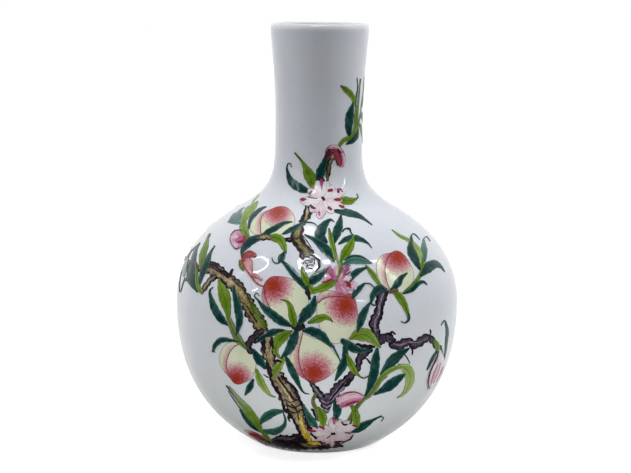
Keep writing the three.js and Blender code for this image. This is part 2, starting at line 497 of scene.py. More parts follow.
def smoothed(points, spacing, closed=False):
    points = np.asarray(points, float)
    if closed:
        padded = np.vstack([points[-1:], points, points[:2]])
    else:
        padded = np.vstack([2 * points[0] - points[1], points, 2 * points[-1] - points[-2]])
    share = np.linspace(0.0, 1.0, bend_steps + 1)[:-1, None]
    bends = []
    for before, start, end, after in zip(padded, padded[1:], padded[2:], padded[3:]):
        steep = 2 * before - 5 * start + 4 * end - after
        curl = 3 * start - before - 3 * end + after
        bends.append(0.5 * (2 * start + (end - before) * share + steep * share**2 + curl * share**3))
    bends.append(points[:1] if closed else points[-1:])
    path = np.vstack(bends)
    steps = np.concatenate([[0.0], np.cumsum(np.hypot(*np.diff(path[:, :2], axis=0).T))])
    count = max(fewest_steps, int(round(steps[-1] / spacing)))
    stops = np.linspace(0.0, steps[-1], count + 1)
    return np.stack([np.interp(stops, steps, column) for column in path.T], axis=1)


def knotty(short_wave, long_wave):
    return knot_bite * abs(np.sin(short_wave)) - 1 + knot_sway * np.sin(long_wave)


def brushed(points, proud, tints, cells=6, crown=0.35, knots=0.0, spacing=1.5):
    path = smoothed(points, spacing)
    heading_on = np.gradient(path[:, :2], axis=0)
    heading_on = heading_on / np.maximum(np.linalg.norm(heading_on, axis=1), shortest_step)[:, None]
    start_cap = path[0, 2] / 2
    end_cap = path[-1, 2] / 2
    before = [path[0, :2] - heading_on[0] * start_cap * e for e in end_shares]
    after = [path[-1, :2] + heading_on[-1] * end_cap * e for e in end_shares[::-1]]
    middles = np.vstack([before, path[:, :2], after])
    rounding = np.sqrt(1 - np.minimum(end_shares, flattest_end) ** 2)
    widths = np.concatenate([path[0, 2] * rounding, path[:, 2], path[-1, 2] * rounding[::-1]])
    before = np.repeat(heading_on[:1], len(end_shares), axis=0)
    after = np.repeat(heading_on[-1:], len(end_shares), axis=0)
    along_path = np.vstack([before, heading_on, after])
    sides = np.stack([-along_path[:, 1], along_path[:, 0]], axis=1)
    across = np.linspace(-1.0, 1.0, cells + 1)
    steps = spacing * np.arange(len(middles)) + knot_shift * points[0][0]
    left_knots = 1 + knots * knotty(left_waves[0] * steps, left_waves[1] * steps)
    right_knots = 1 + knots * knotty(right_waves[0] * steps + 1, right_waves[1] * steps + 2)
    reach_out = np.where(across[None, :] < 0, left_knots[:, None], right_knots[:, None])
    offsets = widths[:, None] * across[None, :] * reach_out / 2
    spots = middles[:, None, :] + sides[:, None, :] * offsets[..., None]
    height = proud * (1 - crown * across**2)
    height = np.repeat(height[None, :], len(middles), axis=0)
    places = on_the_wall(spots.reshape(-1, 2), height.reshape(-1)).reshape(spots.shape[:2] + (3,))
    middle_line = places[:, cells // 2]
    length = np.concatenate([[0.0], np.cumsum(np.linalg.norm(np.diff(middle_line, axis=0), axis=1))])
    reach = np.linalg.norm(places - middle_line[:, None, :], axis=2)
    half = np.where(across[None, :] < 0, reach[:, :1], reach[:, -1:])
    from_ends = np.minimum(length, length[-1] - length)[:, None] + end_line
    share = (length / length[-1])[:, None] * np.ones((1, cells + 1))
    tints = np.array(tints, float)
    stops = np.linspace(0.0, 1.0, len(tints))
    tint = np.stack([np.interp(share, stops, tints[:, c]) for c in range(3)], axis=2)
    marks = {
        "along": np.repeat(length[:, None], cells + 1, axis=1) * to_millimetres,
        "across": reach * np.sign(across)[None, :] * to_millimetres,
        "rim": np.minimum(half - reach, from_ends) * to_millimetres,
        "blush": np.minimum(half * to_millimetres / full_width, 1.0),
    }
    return places, tint, marks, False


def carried_round(patch, degrees):
    angle = math.radians(degrees)
    along_x = (math.cos(angle), math.sin(angle), 0.0)
    along_y = (-math.sin(angle), math.cos(angle), 0.0)
    return (patch[0] @ np.array((along_x, along_y, (0.0, 0.0, 1.0))),) + patch[1:]


def enamelled(name, patches, material):
    places = []
    faces = []
    tints = []
    marks = {"along": [], "across": [], "rim": [], "blush": []}
    count = 0
    for patch, tint, patch_marks, wraps in patches:
        rows, columns = patch.shape[:2]
        number = count + np.arange(rows * columns).reshape(rows, columns)
        right = np.roll(number, -1, axis=1)
        if not wraps:
            number = number[:, :-1] if columns > 1 else number
            right = right[:, :-1]
        corners = np.stack([number[:-1], number[1:], right[1:], right[:-1]], axis=2).reshape(-1, 4)
        flat = patch.reshape(-1, 3)
        first, second, third = (flat[corners[:, k] - count] for k in (0, 1, 2))
        turned_to = np.einsum("ij,ij->i", np.cross(second - first, third - second), first * (1, 1, 0))
        if turned_to.sum() < 0:
            corners = corners[:, ::-1]
        places.append(flat)
        faces.append(corners)
        tints.append(tint.reshape(-1, 3))
        for key in marks:
            marks[key].append(patch_marks[key].reshape(-1))
        count += len(flat)
    shape = bpy.data.meshes.new(name)
    shape.from_pydata(np.vstack(places).tolist(), [], np.vstack(faces).tolist())
    colour = np.ones((count, 4), np.float32)
    colour[:, :3] = np.vstack(tints)
    shape.attributes.new("tint", "FLOAT_COLOR", "POINT").data.foreach_set("color", colour.ravel())
    for key, values in marks.items():
        one = np.concatenate(values).astype(np.float32)
        shape.attributes.new(key, "FLOAT", "POINT").data.foreach_set("value", one)
    piece = bpy.data.objects.new(name, shape)
    bpy.context.collection.objects.link(piece)
    bpy.ops.object.select_all(action="DESELECT")
    bpy.context.view_layer.objects.active = piece
    piece.select_set(True)
    bpy.ops.object.mode_set(mode="EDIT")
    bpy.ops.mesh.select_all(action="SELECT")
    bpy.ops.mesh.remove_doubles(threshold=enamel_weld)
    bpy.ops.object.mode_set(mode="OBJECT")
    bpy.ops.object.modifier_add(type="SOLIDIFY")
    piece.modifiers[0].thickness = enamel_depth
    piece.modifiers[0].offset = -1.0
    bpy.ops.object.modifier_apply(modifier=piece.modifiers[0].name)
    bpy.ops.object.shade_smooth_by_angle(angle=enamel_smooth_below)
    piece.data.materials.append(material)
    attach(piece, "root")
    return piece


def marked(material, name):
    return add_node(material, "ShaderNodeAttribute", {"attribute_name": name}).outputs["Fac"]


def tint_of(material):
    return add_node(material, "ShaderNodeAttribute", {"attribute_name": "tint"}).outputs["Color"]


def reckoned(material, operation, *values):
    sockets = {f"i{place}": value for place, value in enumerate(values)}
    return add_node(material, "ShaderNodeMath", {"operation": operation}, **sockets).outputs[0]


side_vein_slant = -0.9
side_vein_spacing = 1.1
leaf_enamel, leaf_coat = finish_of("leaf_enamel")
leaf_tint = tint_of(leaf_enamel)
leaf_rim = marked(leaf_enamel, "rim")
leaf_across = marked(leaf_enamel, "across")
leaf_along = marked(leaf_enamel, "along")
leaf_full = marked(leaf_enamel, "blush")
leaf_red = add_node(leaf_enamel, "ShaderNodeSeparateColor", i0=leaf_tint).outputs[0]
leaf_young = spread(leaf_enamel, leaf_red, 0.04, 0.09, 0.0, 1.0)
leaf_thin = add_node(leaf_enamel, "ShaderNodeHueSaturation", Color=leaf_tint, Value=1.5).outputs["Color"]
leaf_thin = add_node(
    leaf_enamel, "ShaderNodeMix", {"data_type": "RGBA", "blend_type": "ADD"},
    i0=1.0, i6=leaf_thin, i7=(0.055, 0.085, 0.055, 1.0)).outputs[2]
wash = cloudy(leaf_enamel, 330.0, -0.7, 0.7)
rim_wash = reckoned(leaf_enamel, "ADD", leaf_rim, wash)
thin_share = spread(leaf_enamel, rim_wash, 0.1, 1.5, 0.95, 0.0)
thin_share = reckoned(leaf_enamel, "MULTIPLY", thin_share, leaf_full)
patch_share = spread(leaf_enamel, grain(leaf_enamel, 150.0, 2.0), 0.48, 0.66, 0.0, 0.42)
thin_share = reckoned(leaf_enamel, "MAXIMUM", thin_share, patch_share)
leaf_colour = blended(leaf_enamel, thin_share, leaf_tint, leaf_thin)
leaf_line = (0.006, 0.016, 0.006, 1.0)
vein = reckoned(leaf_enamel, "ABSOLUTE", leaf_across)
side_vein = reckoned(leaf_enamel, "MULTIPLY_ADD", vein, side_vein_slant, leaf_along)
side_vein = reckoned(leaf_enamel, "PINGPONG", side_vein, side_vein_spacing)
side_share = spread(leaf_enamel, side_vein, 0.0, 0.28, 0.42, 0.0)
leaf_colour = blended(leaf_enamel, side_share, leaf_colour, leaf_line)
vein_share = spread(leaf_enamel, vein, 0.08, 0.40, 0.75, 0.0)
leaf_colour = blended(leaf_enamel, vein_share, leaf_colour, leaf_line)
edge_share = spread(leaf_enamel, leaf_rim, 0.22, 0.55, 0.75, 0.0)
edge_share = reckoned(leaf_enamel, "MULTIPLY", edge_share, leaf_young)
leaf_colour = blended(leaf_enamel, edge_share, leaf_colour, leaf_line)
joined(leaf_enamel, leaf_colour, leaf_coat, "Base Color")
leaf_coat.inputs["Specular IOR Level"].default_value = enamel_mirror
rubbed(leaf_enamel, 300.0, 0.08, 0.2, leaf_coat)
embossed(leaf_enamel, grain(leaf_enamel, 350.0), 0.35, 0.0002, leaf_coat)

teal = [(0.003, 0.034, 0.037), (0.008, 0.058, 0.056)]
pale_teal = [(0.04, 0.13, 0.12), (0.09, 0.22, 0.19)]
green = [(0.095, 0.18, 0.007), (0.17, 0.28, 0.018)]
fresh = [(0.14, 0.23, 0.02), (0.24, 0.35, 0.06)]
sap = [(0.10, 0.16, 0.04), (0.19, 0.24, 0.09)]
pale_green = [(0.17, 0.29, 0.03), (0.33, 0.44, 0.12)]
sea_green = [(0.018, 0.080, 0.065), (0.028, 0.105, 0.082)]
straw_green = [(0.28, 0.40, 0.09), (0.40, 0.52, 0.20)]
pale_wash = [(0.20, 0.31, 0.22), (0.32, 0.42, 0.32)]
ink = [(0.010, 0.010, 0.010), (0.010, 0.010, 0.010)]
olive = [(0.14, 0.15, 0.05), (0.20, 0.21, 0.07)]
fading = [(0.13, 0.22, 0.012), (0.14, 0.24, 0.015), (0.15, 0.25, 0.03), (0.30, 0.37, 0.20),
          (0.24, 0.31, 0.18)]
chestnut = [(0.13, 0.075, 0.025), (0.10, 0.05, 0.02)]
leaf_height = 0.00030
leaf_rise = 0.000015
leaf_knots = 0.07


def leaves(name, strokes, degrees_round=0):
    patches = []
    for order, (tints, points) in enumerate(strokes.values()):
        patch = brushed(points, leaf_height + order * leaf_rise, tints, knots=leaf_knots)
        patches.append(carried_round(patch, degrees_round))
    return enamelled(name, patches, leaf_enamel)


neck_strokes = {
    "young leaf by the right edge": (green, [(341, 86, 2), (345, 89, 5), (350, 93.5, 6), (353, 98, 5),
        (354, 104, 2)]),
    "inner line of the edge leaf": (ink, [(357, 78, 0.9), (357.5, 88, 1), (356, 97, 1), (355, 107, 0.9)]),
    "outer line of the edge leaf": (ink, [(360, 79, 0.8), (359.5, 88, 1), (358.5, 100, 1),
        (357.5, 120, 0.9), (357.5, 130, 0.8)]),
    "dark leaf at the right edge": (teal, [(350, 138, 2), (348.5, 128, 7), (349.5, 118, 8.5), (351, 110, 6),
        (353, 103, 1.5)]),
    "stem down the right edge": (green, [(357, 106, 3), (356, 118, 4), (355, 129, 4), (352, 136, 4),
        (346, 139, 4.5), (341, 143, 4), (338, 149, 2.5)]),
    "dark leaf at the bend": (teal, [(346.5, 144, 2), (352, 140.5, 6), (356, 135, 5.5), (358, 129, 1.5)]),
    "long dark leaf under the bud": (teal, [(317, 181, 4), (320.5, 173, 9.5), (323.5, 165, 7.5),
        (326.5, 156, 4), (328, 150, 1.5)]),
    "young leaf left of it": (green, [(313, 189, 4), (312, 183, 9), (309, 175, 11), (305.5, 167, 6),
        (301, 160, 2.4), (295, 153, 1.6)]),
    "curled dark leaf": (teal, [(310, 191, 3), (303, 189.5, 8), (295, 185, 9), (290, 179, 6.5),
        (288, 173, 3.5), (287, 168, 1.8), (288, 164, 1.3), (290.5, 163.5, 1.3), (291.5, 167, 1)]),
    "young leaf right of the blossom": (green, [(339, 200, 2), (344, 200.5, 8), (350, 201, 7.5),
        (356, 199, 2.4), (358, 197, 1.4), (356.5, 194, 0.9)]),
    "dark leaf right of the blossom": (teal, [(332, 210.5, 2), (340, 211.5, 6), (347, 212.5, 7.5),
        (356, 215, 6), (364, 219, 3), (372, 225, 1)]),
}
leaves("leaves_on_the_neck", neck_strokes)


# The old branch winds up the front, with a root at the bottom left and a stub at the foot of the neck.
# It is drawn in ochre and brown enamel, with knotty black edges laid first with a fine brush.
def hairs(material, across, along, scale, detail):
    place = add_node(material, "ShaderNodeCombineXYZ", X=across, Y=along).outputs[0]
    drawn_out = add_node(material, "ShaderNodeMapping", Vector=place, Scale=scale).outputs[0]
    return add_node(material, "ShaderNodeTexNoise", Vector=drawn_out, Scale=1.0, Detail=detail).outputs["Fac"]


bark_ring_bow = 0.16
bark_ring_spacing = 1.25
bark_enamel, bark_coat = finish_of("bark_enamel")
bark_tint = tint_of(bark_enamel)
bark_along = marked(bark_enamel, "along")
bark_across = marked(bark_enamel, "across")
bark_rim = marked(bark_enamel, "rim")
bark_full = marked(bark_enamel, "blush")
bark_streak = hairs(bark_enamel, bark_across, bark_along, (0.8, 0.16, 1.0), 2.0)
bark_pale = add_node(bark_enamel, "ShaderNodeHueSaturation", Color=bark_tint, Value=1.75, Saturation=0.85)
pale_share = spread(bark_enamel, grain(bark_enamel, 170.0, 2.0), 0.44, 0.60, 0.0, 0.85)
bark_colour = blended(bark_enamel, pale_share, bark_tint, bark_pale.outputs["Color"])
bark_dusk = (0.045, 0.028, 0.036, 1.0)
dusk_share = spread(bark_enamel, bark_rim, 1.1, 3.0, 0.80, 0.0)
dusk_share = reckoned(bark_enamel, "MULTIPLY", dusk_share, bark_full)
bark_colour = blended(bark_enamel, dusk_share, bark_colour, bark_dusk)
bark_bow = reckoned(bark_enamel, "MULTIPLY", bark_across, bark_across)
bark_ring = reckoned(bark_enamel, "MULTIPLY_ADD", bark_bow, bark_ring_bow, bark_along)
bark_ring = reckoned(bark_enamel, "PINGPONG", bark_ring, bark_ring_spacing)
ring_share = spread(bark_enamel, bark_ring, 0.0, 0.42, 0.80, 0.0)
ring_patch = spread(bark_enamel, grain(bark_enamel, 130.0), 0.46, 0.56, 0.0, 1.0)
ring_share = reckoned(bark_enamel, "MULTIPLY", ring_share, ring_patch)
bark_colour = blended(bark_enamel, ring_share, bark_colour, bark_dusk)
streak_share = spread(bark_enamel, bark_streak, 0.56, 0.63, 0.0, 0.9)
bark_black = (0.008, 0.005, 0.009, 1.0)
bark_colour = blended(bark_enamel, streak_share, bark_colour, bark_black)
knot = cloudy(bark_enamel, 330.0, -0.8, 0.8, 1.0)
knotty_rim = reckoned(bark_enamel, "ADD", bark_rim, knot)
rim_share = spread(bark_enamel, knotty_rim, 0.85, 1.25, 1.0, 0.0)
rim_share = reckoned(bark_enamel, "MULTIPLY", rim_share, bark_full)
bark_colour = blended(bark_enamel, rim_share, bark_colour, bark_black)
joined(bark_enamel, bark_colour, bark_coat, "Base Color")
bark_coat.inputs["Specular IOR Level"].default_value = enamel_mirror
rubbed(bark_enamel, 300.0, 0.12, 0.3, bark_coat)
embossed(bark_enamel, bark_streak, 0.4, 0.0002, bark_coat)

ochre = [(0.24, 0.18, 0.06), (0.28, 0.21, 0.075)]
mossy = [(0.28, 0.22, 0.08), (0.14, 0.13, 0.025)]
moss = [(0.06, 0.12, 0.002), (0.09, 0.15, 0.006)]
umber = [(0.24, 0.19, 0.11), (0.31, 0.24, 0.13)]
tan = [(0.42, 0.35, 0.17), (0.42, 0.34, 0.14)]
plum = [(0.058, 0.044, 0.078), (0.085, 0.066, 0.098)]
lilac = [(0.22, 0.18, 0.26), (0.25, 0.20, 0.27)]
soot = [(0.010, 0.006, 0.012), (0.016, 0.011, 0.018)]
gilt = [(0.50, 0.34, 0.02), (0.58, 0.40, 0.03)]
branch_height = 0.00012
branch_rise = 0.000012
branch_cells = 8
branch_step = 1.1
edge_knots = 0.34
branch_knots = 0.22
faint_edge = 0.15


def branches(name, strokes, degrees_round=0):
    patches = []
    for order, (tints, points) in enumerate(strokes.values()):
        knots = edge_knots if tints in (soot, lilac, tan) else branch_knots
        height = branch_height + order * branch_rise
        patch = brushed(points, height, tints, cells=branch_cells, knots=knots, spacing=branch_step)
        if tints in (moss, tan, lilac, gilt):
            patch[2]["blush"] *= faint_edge
        patches.append(carried_round(patch, degrees_round))
    return enamelled(name, patches, bark_enamel)


old_branch_strokes = {
    "end at the left edge": (soot, [(184, 258, 3), (187, 261.5, 6), (191, 266, 6), (198, 268.5, 7),
        (205, 268, 9)]),
    "plum in the end": (plum, [(193, 266.5, 1.5), (199, 268.5, 3), (206, 268, 3.5)]),
    "arm to the upper left": (umber, [(204, 269, 9), (211, 268.5, 12), (217, 271.5, 13), (223, 276, 12.5),
        (231, 282, 12), (240, 290, 12.5)]),
    "arm to the middle": (mossy, [(238, 288, 12), (244, 297, 13), (249, 307, 13), (255, 317, 14),
        (260, 326, 14), (264, 333, 11)]),
    "plum at the bend": (plum, [(207, 267, 4), (214, 267.5, 5), (221, 272, 4.6), (228, 277.5, 3)]),
    "moss on the arm": (moss, [(251, 303, 4), (255, 311, 7), (260, 319, 8), (265, 326, 5)]),
    "pale streak on the arm": (tan, [(225, 278, 2), (232, 283, 3), (239, 289.5, 3.5), (244, 297, 2.5)]),
    "crack along the arm": (soot, [(232, 279, 1), (239, 285, 1.3), (246, 293, 1.4), (250, 302, 1.2)]),
    "lower crack of the arm": (soot, [(247, 306, 1.5), (252, 314, 1.8), (257, 322, 1.5)]),
    "knob on the arm": (soot, [(228, 276, 4), (231, 273, 3), (232.5, 269.5, 1.8)]),
    "knob at the bend": (soot, [(209, 263.5, 3), (213, 263, 4.5), (217, 265.5, 4)]),
    "knob past the bend": (soot, [(220, 271, 2), (224, 272.5, 4), (228, 274.5, 3)]),
    "spur under the arm": (soot, [(222, 280, 3), (224, 283.5, 3), (223, 286, 2)]),
    "trunk in the middle": (umber, [(266, 335, 12), (266.5, 345, 12), (268.5, 354, 11.5), (270.5, 362, 10),
        (272, 372, 8)]),
    "pale streak in the middle": (tan, [(271, 349, 2.5), (271, 356, 4), (271.5, 363, 3.5), (272, 369, 2)]),
    "trunk below": (umber, [(275, 374, 11), (280, 382, 16), (285, 390, 17), (289.5, 398, 16.5),
        (294, 407, 18), (298.5, 416, 13.5), (302.5, 427, 11), (307, 440, 9)]),
    "pale streak below": (tan, [(277, 378, 3), (284, 389, 4.5), (291, 400, 6), (296, 410, 5),
        (299, 418, 2.5)]),
    "gold at its foot": (gilt, [(298, 412, 4), (301, 421, 6), (303.5, 430, 7.5), (306.5, 437, 8),
        (311, 442.5, 7), (319, 444.5, 5)]),
    "root to the left": (soot, [(261, 441, 2.6), (268, 442.6, 5), (276, 442, 8.5), (284, 441, 11),
        (291, 440.5, 12.5), (298, 440, 12), (304, 441, 9)]),
    "plum in the root": (plum, [(272, 440, 2), (281, 437.5, 5), (289, 439, 6), (296, 436, 4)]),
    # The lowest stroke of the root runs on along the bottom edge past the trunk: partly root, partly painted
    # shade where the belly turns under to the foot.
    "root and painted shade along the bottom": (soot, [(275, 444.4, 3.4), (284, 446, 5), (294, 446.8, 5), (304, 447, 5), (314, 446.8, 5),
        (324, 446.5, 4.6), (334, 446.4, 3.4), (343, 445.8, 1.6)]),
    "tan in the root": (ochre, [(301, 443, 3), (309, 446, 5), (318, 445.5, 4)]),
    "root up to the trunk": (soot, [(291, 437, 3), (297, 435.5, 4), (301, 438, 6)]),
    "left edge of the trunk": (soot, [(270, 377, 2), (273.5, 385, 2.8), (279, 393, 3), (282.5, 402, 2.6),
        (284.5, 409, 3), (291, 415, 2.8), (294.5, 422, 2.4), (299, 431, 2.4), (302, 440, 2.4)]),
    "upper ring of the trunk": (soot, [(285, 399, 1), (291, 402, 1.3), (298, 399, 1)]),
    "middle ring of the trunk": (soot, [(286.5, 404, 1.2), (293, 407.5, 1.4), (301, 404, 1.2)]),
    "lower ring of the trunk": (soot, [(287, 409, 1.2), (294.5, 412.5, 1.5), (302, 409, 1.2)]),
    "right edge of the trunk": (soot, [(281.5, 376, 2), (289, 383, 2.6), (296, 391, 3), (300.5, 401, 2.8),
        (304.5, 412, 2.4), (307.5, 423, 2.6), (311.5, 433, 2.8), (320, 441, 2)]),
    "line down the trunk": (soot, [(278, 377, 1.6), (283, 384, 2), (288, 391, 2.4), (294, 399, 2)]),
    "second line down the trunk": (soot, [(292, 404, 1.4), (297, 411, 1.8), (299, 419, 1.6)]),
    "dark hole": (soot, [(264.5, 340, 2.4), (264, 346, 4.8), (264.5, 352, 2.4)]),
    "small hole": (soot, [(271.5, 338, 1.8), (272, 343, 3), (273.2, 348.5, 1.5)]),
    "lower hole": (soot, [(267.5, 363, 2.5), (269.5, 369, 5), (270.5, 375, 3)]),
    "spike on the right": (soot, [(274, 361, 2.5), (278, 360.5, 2.5), (282, 362, 1)]),
    "twig on the left": (soot, [(290, 413, 1.5), (288, 416, 2.2), (290, 421, 1.5)]),
    "bow under the stub": (soot, [(311, 255, 2), (316, 257.5, 2.6), (319, 262, 2.8), (318.5, 268, 2.2),
        (315.5, 272, 1.2)]),
    "first scratch under it": (soot, [(302.5, 258.6, 0.5), (306, 256.8, 0.9), (309.5, 258, 0.6)]),
    "second scratch under it": (soot, [(303, 264, 0.5), (305, 261, 0.8), (308.6, 260.4, 0.7),
        (311.4, 263, 0.5)]),
    "third scratch under it": (soot, [(306, 267.4, 0.5), (309.4, 265, 0.8), (313.6, 265.6, 0.5)]),
    "fourth scratch under it": (soot, [(312, 257.6, 0.5), (314.6, 260.6, 0.8), (314, 264, 0.5)]),
    "fifth scratch under it": (soot, [(305.4, 262.6, 0.6), (307.6, 264.4, 1.1), (306.4, 266.4, 0.6)]),
    "sixth scratch under it": (soot, [(308.4, 268, 0.6), (311.6, 268.6, 1.1), (313.4, 270.4, 0.6)]),
    "seventh scratch under it": (lilac, [(309, 262.4, 2), (311.6, 261.2, 3), (312.6, 258.8, 2)]),
}
branches("old_branch", old_branch_strokes)

stub_strokes = {
    "top of the stub": (ochre, [(308.5, 204, 5), (307, 210, 6), (305.5, 216, 7), (303, 223, 6)]),
    "body of the stub": (mossy, [(300.5, 227, 7), (297, 234, 9), (298, 241, 9), (302.5, 247, 9.5),
        (307, 253, 9)]),
    "arm to the left": (soot, [(297, 238.5, 4), (290, 240, 4), (285, 239.5, 3.4), (281, 238, 1.8)]),
    "tan on the top": (tan, [(308, 207, 2), (306.5, 215, 3), (305.5, 219, 2.4)]),
    "tan on the arm": (ochre, [(295, 239, 2.2), (289, 239.6, 1.6)]),
    "left edge of the top": (soot, [(305.5, 210, 2), (304, 215.5, 3.6), (300.6, 221, 4)]),
    "right edge of the top": (soot, [(309.5, 205, 3.4), (311, 211, 3), (309.5, 218, 2.6)]),
    "dark tip at the neck": (soot, [(309, 207.5, 3), (314, 208.5, 3), (317, 208.5, 1)]),
    "right edge of the body": (soot, [(303.2, 229.5, 3), (301, 234.5, 3), (302.8, 240, 3),
        (306.4, 245.5, 3), (310, 250, 4), (312.4, 252.8, 3.4)]),
    "left edge of the body": (soot, [(294, 230, 2.2), (292, 235.5, 2.6), (293.3, 241.5, 3),
        (296.8, 247.5, 3.4), (301, 251.8, 3)]),
    "outer line of the body": (soot, [(303.5, 236.5, 0.9), (307.5, 242, 1), (311.5, 248, 0.9)]),
    "dark lump under it": (soot, [(300.5, 251, 4), (301.5, 255, 4.6), (303, 259, 2.4)]),
    "plum in the lump": (plum, [(301, 252, 1.6), (302, 256, 2)]),
}
branches("stub_at_the_neck", stub_strokes)


# A second branch crosses the right side behind the fruit, and a forked twig stands at the bottom.
# Both are in a grey plum enamel, with the same black edges.
young_branch_strokes = {
    "down from the right fruit": (plum, [(384, 291, 9), (381, 299, 9.6), (379, 307, 8.6), (377, 316, 9.6),
        (373.5, 325, 9.2), (376, 334, 8), (380, 342, 7)]),
    "dark side of it": (soot, [(388, 291, 2), (385, 299, 2.2), (382.6, 307, 2), (381.3, 316, 2.4),
        (378, 324, 2), (379.5, 333, 1.8)]),
    "lilac down the branch": (lilac, [(383, 294, 1.8), (379.5, 305, 2.4), (378.5, 314, 2.6),
        (375, 322, 2.2), (375.5, 331, 1.8)]),
    "zigzag to the right": (plum, [(378, 342, 6), (383, 338.5, 9), (388, 338, 9), (394, 344, 10),
        (400, 345, 9), (408, 342, 8.5), (414, 345, 8.5), (421, 341, 8), (428, 337.5, 8), (433, 341, 7),
        (438, 348, 5)]),
    "lilac along the zigzag": (lilac, [(385, 339.5, 1.5), (392, 343, 2), (400, 345, 2.6), (409, 342, 1.6),
        (418, 342.5, 2), (427, 338, 1.4)]),
    "spur under the zigzag": (soot, [(412, 347, 3), (412.5, 351, 2.4), (412, 355, 1)]),
    "spur above the end": (soot, [(430, 336, 2.4), (430.5, 332, 1.8), (430, 329.5, 1)]),
    "spur on the bend": (soot, [(390, 335, 2.8), (392, 332, 2.2), (395, 334, 1.6)]),
    "loop on the bend": (soot, [(386, 334, 1.6), (386, 340, 1.8), (391, 343, 1.8), (395, 340, 1.4)]),
    "plum stub": (plum, [(370, 350, 6), (364, 353, 8), (360, 359, 8), (357.5, 368, 6), (355, 374, 4)]),
    "lines on the plum stub": (soot, [(368, 352, 1.5), (362, 356, 1.5), (360, 363, 1.5), (357, 370, 1.2)]),
    "hook by the plum stub": (soot, [(364, 357, 1.4), (368, 360, 1.5), (370.5, 364, 1.2)]),
    "streak by the big leaf": (soot, [(357, 344.5, 3), (365, 346, 4), (374, 347, 2.5)]),
    "fork trunk": (plum, [(327, 409.5, 7), (326.5, 404, 10.5), (326.5, 399, 12)]),
    "fork left arm": (plum, [(326, 403, 9), (320, 395, 7.5), (315, 389, 6.5), (311, 382, 4)]),
    "fork right arm": (plum, [(328, 400, 11), (334, 393, 10.5), (341, 385.5, 10), (347, 379.5, 9),
        (354, 373.5, 7)]),
    "lilac in the right arm": (lilac, [(330.5, 397.5, 2.4), (336, 390.5, 3.2), (342, 383.5, 3),
        (346.5, 379, 2.4)]),
    "lower lilac in the right arm": (lilac, [(333, 399, 2), (338.5, 392.5, 3), (343.5, 387, 2.6),
        (346.5, 383, 2)]),
    "lilac in the left arm": (lilac, [(313, 385.5, 1.4), (317, 391, 2.2), (321, 396, 2)]),
    "first ring of the trunk": (lilac, [(322, 400.5, 1.6), (326.5, 402.8, 2), (331, 400.8, 1.6)]),
    "second ring of the trunk": (lilac, [(323, 405, 1.6), (327, 407, 2), (331, 405, 1.6)]),
    "third ring of the trunk": (lilac, [(325, 409.5, 1.4), (327.5, 410.8, 1.6), (330, 409.5, 1.2)]),
    "fork inner line": (soot, [(330, 401, 1.8), (334.5, 394.5, 2.2), (339, 388.5, 2.6), (344, 382.5, 2.4),
        (348, 378.5, 1.8)]),
    "fork knob": (soot, [(344, 385.5, 2.4), (348, 383.5, 3.4), (350, 379, 2.4)]),
    "twig by the gold": (soot, [(312, 409, 2), (315, 413, 4), (316, 417, 3.5), (315, 421, 2)]),
    "twig knot on the left": (plum, [(262, 331.5, 6), (256, 335, 7.5), (251, 340, 7.5), (248.5, 346, 7),
        (251, 352, 5)]),
    "dark specks of the knot": (soot, [(258, 333, 2), (253, 337.5, 2.4), (250, 343, 2.4), (250.5, 349, 2)]),
    "stem to the left leaves": (umber, [(215, 277, 5), (209, 282, 5.5), (205, 287, 5.5), (202, 291, 4)]),
    "calyx of the middle fruits": (soot, [(294, 327.5, 5), (299, 326, 8.5), (303, 327, 5)]),
    "calyx of the upper left fruit": (umber, [(259, 237.5, 5), (265, 237, 7.5), (270, 238, 5)]),
    "calyx of the right fruit": (umber, [(390, 292, 4), (394, 290, 6), (397, 291, 3)]),
    "knot between the fruits": (soot, [(308, 288, 5), (308.5, 293, 5), (309.5, 299, 2.6)]),
    "stem of the neck bud": (mossy, [(334, 158.5, 3), (331, 160.5, 4.6), (329, 166, 4.6), (328, 173, 4.6),
        (327, 180, 3.6)]),
}
branches("young_branches", young_branch_strokes)


# Six ripe peaches hang on the front. Each is a flat wash of pale green enamel, with red stippled over it
# where the sun has caught the fruit, and its cleft and outline drawn in brown.
peach_height = 0.00022
peach_rise = 0.00001
peach_rings = 15
peach_crown = 0.35
outline_step = 1.5
cleft_step = 1.0
peach_wash = (0.55, 0.60, 0.42)


def fruit(outline, cleft, blush, proud):
    rings = np.linspace(0.0, 1.0, peach_rings)
    around = smoothed(outline, outline_step, closed=True)[:-1]
    centre = around.mean(axis=0)
    spots = centre + (around - centre) * rings[:, None, None]
    height = proud * (1 - peach_crown * rings**4)
    height = np.repeat(height[:, None], len(around), axis=1)
    places = on_the_wall(spots.reshape(-1, 2), height.reshape(-1)).reshape(len(rings), len(around), 3)
    rim = np.linalg.norm(places[-1][None] - places, axis=2)
    line = smoothed(cleft, cleft_step)
    line_places = on_the_wall(line, np.full(len(line), proud))
    away = np.linalg.norm(places[:, :, None, :] - line_places[None, None], axis=3)
    nearest = away.argmin(axis=2)
    ahead = np.gradient(line, axis=0)[nearest]
    offset = spots - line[nearest]
    side = np.sign(ahead[..., 0] * offset[..., 1] - ahead[..., 1] * offset[..., 0])
    sunny_x, sunny_y, sunny_reach = blush
    sun = 1 - np.hypot(spots[..., 0] - sunny_x, spots[..., 1] - sunny_y) / sunny_reach
    marks = {
        "along": sun,
        "across": away.min(axis=2) * side * to_millimetres,
        "rim": rim * to_millimetres,
        "blush": sun,
    }
    tint = np.zeros(spots.shape[:2] + (3,)) + np.array(peach_wash)
    return places, tint, marks, True


